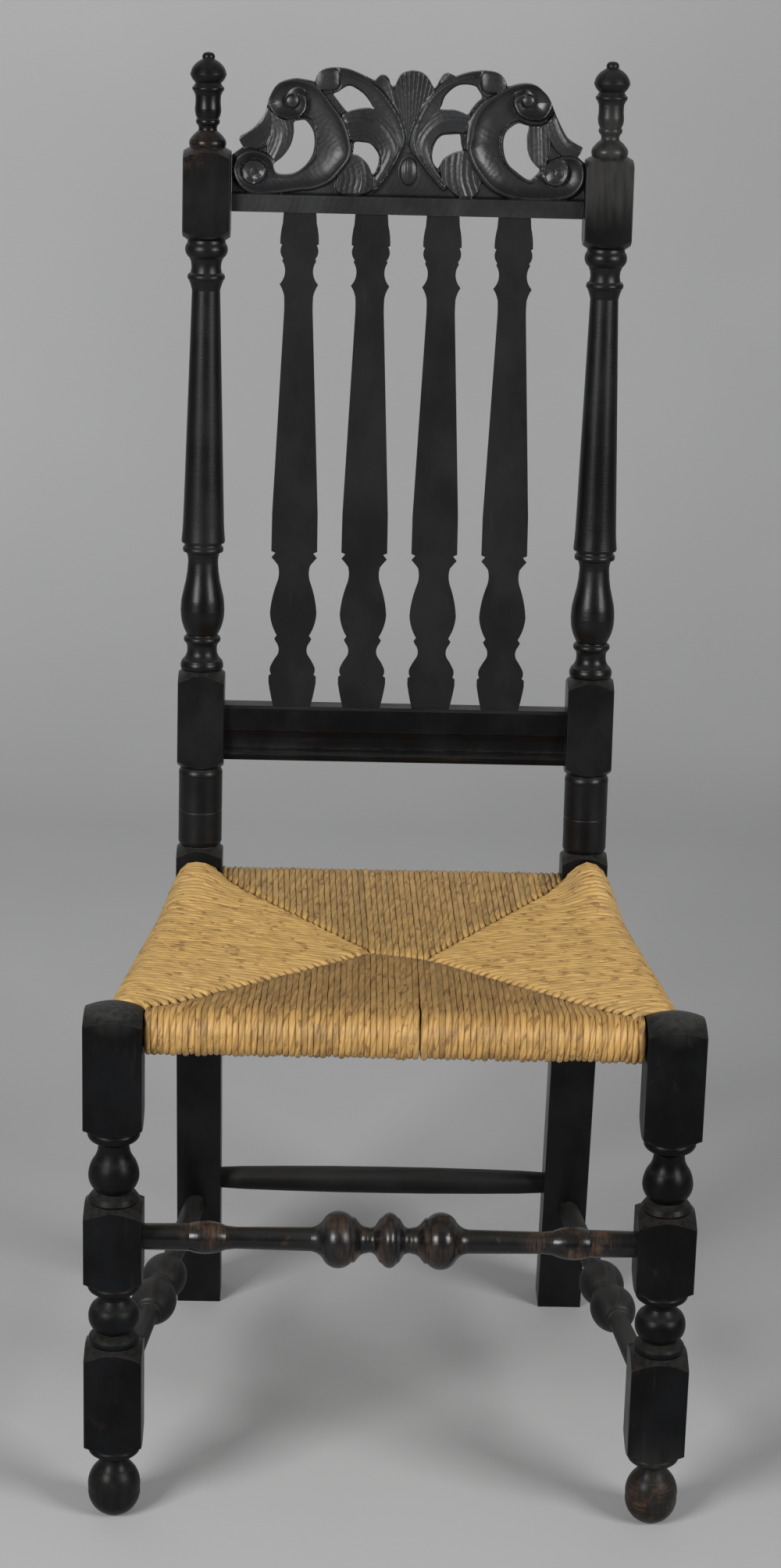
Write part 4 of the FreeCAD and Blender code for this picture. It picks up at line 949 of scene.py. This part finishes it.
def tube(path, radius, dice, wander):
    # A closed tube along the path, a little uneven, as twisted rush is.
    sides, fullTurn = rush["sides"], rush["fullTurn"]
    uneven = rush["roughness"]
    p = np.array(path)
    tangent = np.gradient(p, axis=0)
    tangent /= np.linalg.norm(tangent, axis=1)[:, None]
    across = np.cross(tangent[len(p) // 2], (0, 0, 1.0))
    if np.linalg.norm(across) < 0.2:
        across = np.cross(tangent[0], (0, 0, 1.0))
    across /= np.linalg.norm(across)
    phase = dice.uniform(0, fullTurn)
    wave = dice.uniform(*rush["wave"])
    length = np.concatenate([[0], np.cumsum(np.linalg.norm(p[1:] - p[:-1], axis=1))])
    points, uvs = [], []
    for i, (centre, forward) in enumerate(zip(p, tangent)):
        side = across - forward * (across @ forward)
        side /= np.linalg.norm(side)
        lift = np.cross(side, forward)
        swell = 1 + rush["swell"] * math.sin(fullTurn * length[i] / wave + phase)
        swell += dice.uniform(-uneven, uneven)
        sway = wander * math.sin(fullTurn * length[i] / (wave * rush["swayWave"]) + 2 * phase)
        if i in (0, len(p) - 1):
            swell *= rush["tip"]
        for k in range(sides):
            angle = 2 * math.pi * k / sides
            offset = side * math.cos(angle) + lift * math.sin(angle)
            points.append(centre + side * sway + offset * radius * swell)
            uvs.append((length[i] * mm, k / sides))
    faces = []
    for i in range(len(p) - 1):
        for k in range(sides):
            a, b = i * sides + k, i * sides + (k + 1) % sides
            faces.append((a, b, b + sides, a + sides))
    last = (len(p) - 1) * sides
    faces.append(tuple(range(sides - 1, -1, -1)))
    faces.append(tuple(last + k for k in range(sides)))
    return points, faces, uvs


def makePanel(name, strands, material, seed, radius, wander, replaced=()):
    # wander is how far a strand strays from its path.
    dice = random.Random(seed)
    thinnest, thickest = rush["thinnest"], rush["thickest"]
    points, faces, uvs, tones = [], [], [], []
    for path in strands:
        some, shape, flat = tube(path, radius * dice.uniform(thinnest, thickest), dice, wander)
        shift = len(points)
        points += some
        faces += [tuple(i + shift for i in face) for face in shape]
        uvs += flat
        tones += [dice.random()] * len(some)
    piece = pieceFromMesh(name, np.array(points) * mm, faces, material, replaced)
    mesh = piece.data
    layer = mesh.uv_layers.new(name="strand")
    sides = rush["sides"]
    for polygon in mesh.polygons:
        ring = [mesh.loops[i].vertex_index for i in polygon.loop_indices]
        wraps = max(uvs[v][1] for v in ring) - min(uvs[v][1] for v in ring) > 0.5
        for i, vertex in zip(polygon.loop_indices, ring):
            u, v = uvs[vertex]
            layer.data[i].uv = (u, v + 1 if wraps and v < 0.5 and len(ring) == 4 else v)
    tone = mesh.attributes.new("strandTone", "FLOAT", "POINT")
    tone.data.foreach_set("value", np.array(tones, np.float32))
    facesOutward(piece)
    bpy.ops.object.shade_smooth()
    print(name, len(strands), "strands,", len(faces), "faces")


def seamAt(x, end):
    # The seam's y at x, on a line from corner to corner of that end by way of the middle places.
    line = np.array([rush[key] for key in ("left" + end, "leftApex", "rightApex", "right" + end)])
    return float(np.interp(x, line[:, 0], line[:, 1]))


def evenPlaces(half):
    # Where the strands of a front or rear panel lie, from -half to half.
    count = round(2 * half / rush["pitch"])
    return [-half + 2 * half * i / count for i in range(count + 1)]


def endStrand(dice, seam, edge, outward, slack):
    # A front or rear strand: from the seam to its bar's edge, a little bent halfway.
    sway = dice.uniform(-rush["sway"], rush["sway"])
    halfway = ((edge[0] + seam[0]) / 2 + sway, (seam[1] + edge[1]) / 2)
    return strandPath([seam, halfway, edge], (0, outward), dice.uniform(rush["tight"], slack))


def frontStrands(dice):
    edgeY = rush["frontY"] + rush["roll"]
    reach = rush["splitReach"] * rush["pitch"]
    strands = []
    for x in evenPlaces(rush["frontHalf"]):
        seamX = x * rush["gather"]
        fromSplit = x - rush["splitX"]
        if abs(fromSplit) < reach:
            x += math.copysign(rush["splitWide"] * (1 - abs(fromSplit) / reach), fromSplit)
        seamY = max(seamAt(seamX, "Front"), edgeY + 1)
        strands.append(endStrand(dice, (seamX, seamY), (x, edgeY), -1, rush["frontSlack"]))
    return strands


def rearStrands(dice):
    edgeY = rush["rearY"] - rush["roll"]
    strands = []
    for x in evenPlaces(rush["rearHalf"]):
        # a leaning strand meets the seam at another x, which is found in three tries
        seamX = x
        for _ in range(3):
            seamY = seamAt(seamX, "Rear")
            seamX = x + rush["skew"] * (edgeY - seamY)
        seamY = min(seamY, edgeY - 1)
        strands.append(endStrand(dice, (seamX, seamY), (x, edgeY), 1, rush["slack"]))
    return strands


def sideStrands(dice, side):
    # Side strands start square to the bar, then bend to meet the seams. They are laid out on the
    # left and mirrored for the right.
    word = "left" if side < 0 else "right"
    mirror = np.array([-side, 1.0])
    apex, front, rear = (np.array(rush[word + key]) * mirror for key in ("Apex", "Front", "Rear"))
    start, end = np.array(rush["sideFront"]), np.array(rush["sideRear"])
    bar = end - start
    inward = np.array([bar[1], -bar[0]]) / math.hypot(*bar)
    count = round(math.hypot(*bar) / rush["pitch"])
    apexShare, sway = rush["apexShare"], rush["sideSway"]
    before, after = rush["crowd"]
    strands = []
    for i in range(count + 1):
        share = i / count
        edge = start + bar * share + inward * rush["roll"]
        if share < apexShare:
            meet = front + (apex - front) * (share / apexShare) ** before
        else:
            meet = apex + (rear - apex) * ((share - apexShare) / (1 - apexShare)) ** after
        reach = inward * math.dist(edge, meet) * 0.5
        control = edge + reach + np.array([0, dice.uniform(-sway, sway)])
        t = np.linspace(0, 1, rush["bendPoints"])[:, None]
        plan = meet * (1 - t) ** 2 + 2 * control * t * (1 - t) + edge * t ** 2
        drop = dice.uniform(rush["tight"], rush["slack"])
        strands.append(strandPath(plan * mirror, -inward * mirror, drop, swells=True))
    return strands


golden = rushMaterial("rush_side", light=(0.52, 0.325, 0.108), dark=(0.36, 0.210, 0.064),
                      stain=(0.34, 0.220, 0.080), fleck=(0.19, 0.095, 0.034))
# the front panel turns darker from its roll towards the back
frontGold = rushMaterial("rush_front", light=(0.53, 0.315, 0.100), dark=(0.28, 0.152, 0.044),
                         stain=(0.19, 0.115, 0.040), fleck=(0.135, 0.066, 0.025),
                         backDarkening=(-0.224, -0.150, 0.0, 0.45))
rearGold = rushMaterial("rush_rear", light=(0.53, 0.330, 0.108), dark=(0.30, 0.172, 0.053),
                        stain=(0.27, 0.172, 0.062), fleck=(0.15, 0.075, 0.027))
seatDice = random.Random(11)
makePanel("rush_front", frontStrands(seatDice), frontGold, seed=1, radius=2.95, wander=0.15,
          replaced=["rush_seat"])
makePanel("rush_rear", rearStrands(seatDice), rearGold, seed=2, radius=2.95, wander=0.12)
makePanel("rush_left", sideStrands(seatDice, -1), golden, seed=3, radius=3.2, wander=0.35)
makePanel("rush_right", sideStrands(seatDice, 1), golden, seed=4, radius=3.2, wander=0.35)
print("seat woven")


# Studio: a pale sweep, soft light and the camera

# In metres. The paper's tone follows the way back along the floor and up the wall, as painted
# light and shade, lightest up the wall: foot and fade are where it changes; side is where painted
# shade darkens it from left to right.
studio = {
    "floor": (0.44, 0.44, 0.44), "middle": (0.46, 0.46, 0.46), "wall": (0.86, 0.86, 0.87),
    "foot": (-0.6, 1.2), "fade": (2.9, 5.2), "side": (-1.2, 1.2), "sideShade": 0.20,
    "mottleCells": (1.2, 1.2, 1.2), "mottle": (0.3, 0.7, 0, 0.06), "rough": 0.8, "shine": 0.2,
    "near": -3.6, "far": 2.4, "wide": 4.0, "high": 4.5, "bend": 0.9, "bendSteps": 12,
    "air": (0.95, 0.97, 1.0), "airLight": 0.17,
}


def makeStudio():
    near, far, high, bend = studio["near"], studio["far"], studio["high"], studio["bend"]
    steps = studio["bendSteps"]
    line = [(near, 0.0), (far - bend, 0.0)]
    for i in range(1, steps + 1):
        turn = math.radians(90 * i / steps)
        line.append((far - bend + bend * math.sin(turn), bend - bend * math.cos(turn)))
    line.append((far, high))
    points, faces = [], []
    for y, z in line:
        points += [(-studio["wide"], y, z), (studio["wide"], y, z)]
    for i in range(len(line) - 1):
        faces.append((2 * i, 2 * i + 1, 2 * i + 3, 2 * i + 2))
    mesh = bpy.data.meshes.new("sweep")
    mesh.from_pydata(points, [], faces)
    sweep = bpy.data.objects.new("sweep", mesh)
    bpy.context.scene.collection.objects.link(sweep)
    material, tree, shader = newMaterial("sweep_paper")
    place = objectPlace(tree)
    mottle = noise(tree, place, studio["mottleCells"], 3, 0.5)
    placeAxes = axes(tree, place)
    back = math2(tree, "ADD", placeAxes[1], placeAxes[2])
    # painted light and shade: the paper's colour changes from floor to wall, lightest up the wall
    paper = blendColour(tree, between(tree, back, *studio["foot"]), studio["floor"], studio["middle"])
    paper = blendColour(tree, between(tree, back, *studio["fade"]), paper, studio["wall"])
    # painted shade: the paper darkens from left to right
    shade = between(tree, placeAxes[0], *studio["side"], 0.0, studio["sideShade"])
    paper = blendColour(tree, shade, paper, (0, 0, 0))
    paper = blendColour(tree, between(tree, mottle, *studio["mottle"]), paper, (1, 1, 1))
    wire(tree, paper, shader.inputs["Base Color"])
    shader.inputs["Roughness"].default_value = studio["rough"]
    shader.inputs["Specular IOR Level"].default_value = studio["shine"]
    mesh.materials.append(material)
    for polygon in mesh.polygons:
        polygon.use_smooth = True


lamps = {
    "left": {"place": (-2.2, -2.6, 2.0), "aim": (0, 0, 0.7), "size": 1.3, "watts": 120},
    "right": {"place": (2.6, -2.1, 1.9), "aim": (0, 0, 0.7), "size": 1.3, "watts": 96},
}


def makeLamps():
    for name, lamp in lamps.items():
        light = bpy.data.lights.new(name, "AREA")
        light.shape = "SQUARE"
        light.size = lamp["size"]
        light.energy = lamp["watts"]
        holder = bpy.data.objects.new(name, light)
        holder.location = lamp["place"]
        aim = Vector(lamp["aim"]) - Vector(lamp["place"])
        holder.rotation_euler = aim.to_track_quat("-Z", "Y").to_euler()
        bpy.context.scene.collection.objects.link(holder)
    world = bpy.data.worlds.new("studio")
    bpy.context.scene.world = world
    world.use_nodes = True
    background = world.node_tree.nodes["Background"]
    background.inputs["Color"].default_value = (*studio["air"], 1)
    background.inputs["Strength"].default_value = studio["airLight"]


# Place in metres and turns in degrees; focal length, centre and size in the picture's pixels.
view = {
    "place": (-0.0596, -2.9022, 1.6061), "turn": 1.322, "pitch": 19.234, "roll": 1.557,
    "focal": 4642.7, "centre": (519.2, 996.2), "picture": (1000, 2008),
}


def makeCamera():
    turn, pitch, roll = (math.radians(view[k]) for k in ("turn", "pitch", "roll"))
    level = Vector((math.cos(turn), -math.sin(turn), 0))
    ahead = math.cos(pitch)
    forward = Vector((math.sin(turn) * ahead, math.cos(turn) * ahead, -math.sin(pitch)))
    above = level.cross(forward)
    right = level * math.cos(roll) + above * math.sin(roll)
    up = -level * math.sin(roll) + above * math.cos(roll)
    camera = bpy.data.cameras.new("camera")
    holder = bpy.data.objects.new("camera", camera)
    bpy.context.scene.collection.objects.link(holder)
    rotation = Matrix((right, up, -forward)).transposed().to_4x4()
    holder.matrix_world = Matrix.Translation(Vector(view["place"])) @ rotation
    width, height = view["picture"]
    camera.sensor_fit = "HORIZONTAL"
    camera.sensor_width = 36
    camera.lens = view["focal"] / width * camera.sensor_width
    camera.shift_x = (width / 2 - view["centre"][0]) / width
    camera.shift_y = (view["centre"][1] - height / 2) / width
    camera.clip_end = 50
    bpy.context.scene.camera = holder


makeStudio()
makeLamps()
makeCamera()
bpy.context.scene.view_settings.view_transform = "Standard"
print("studio set")
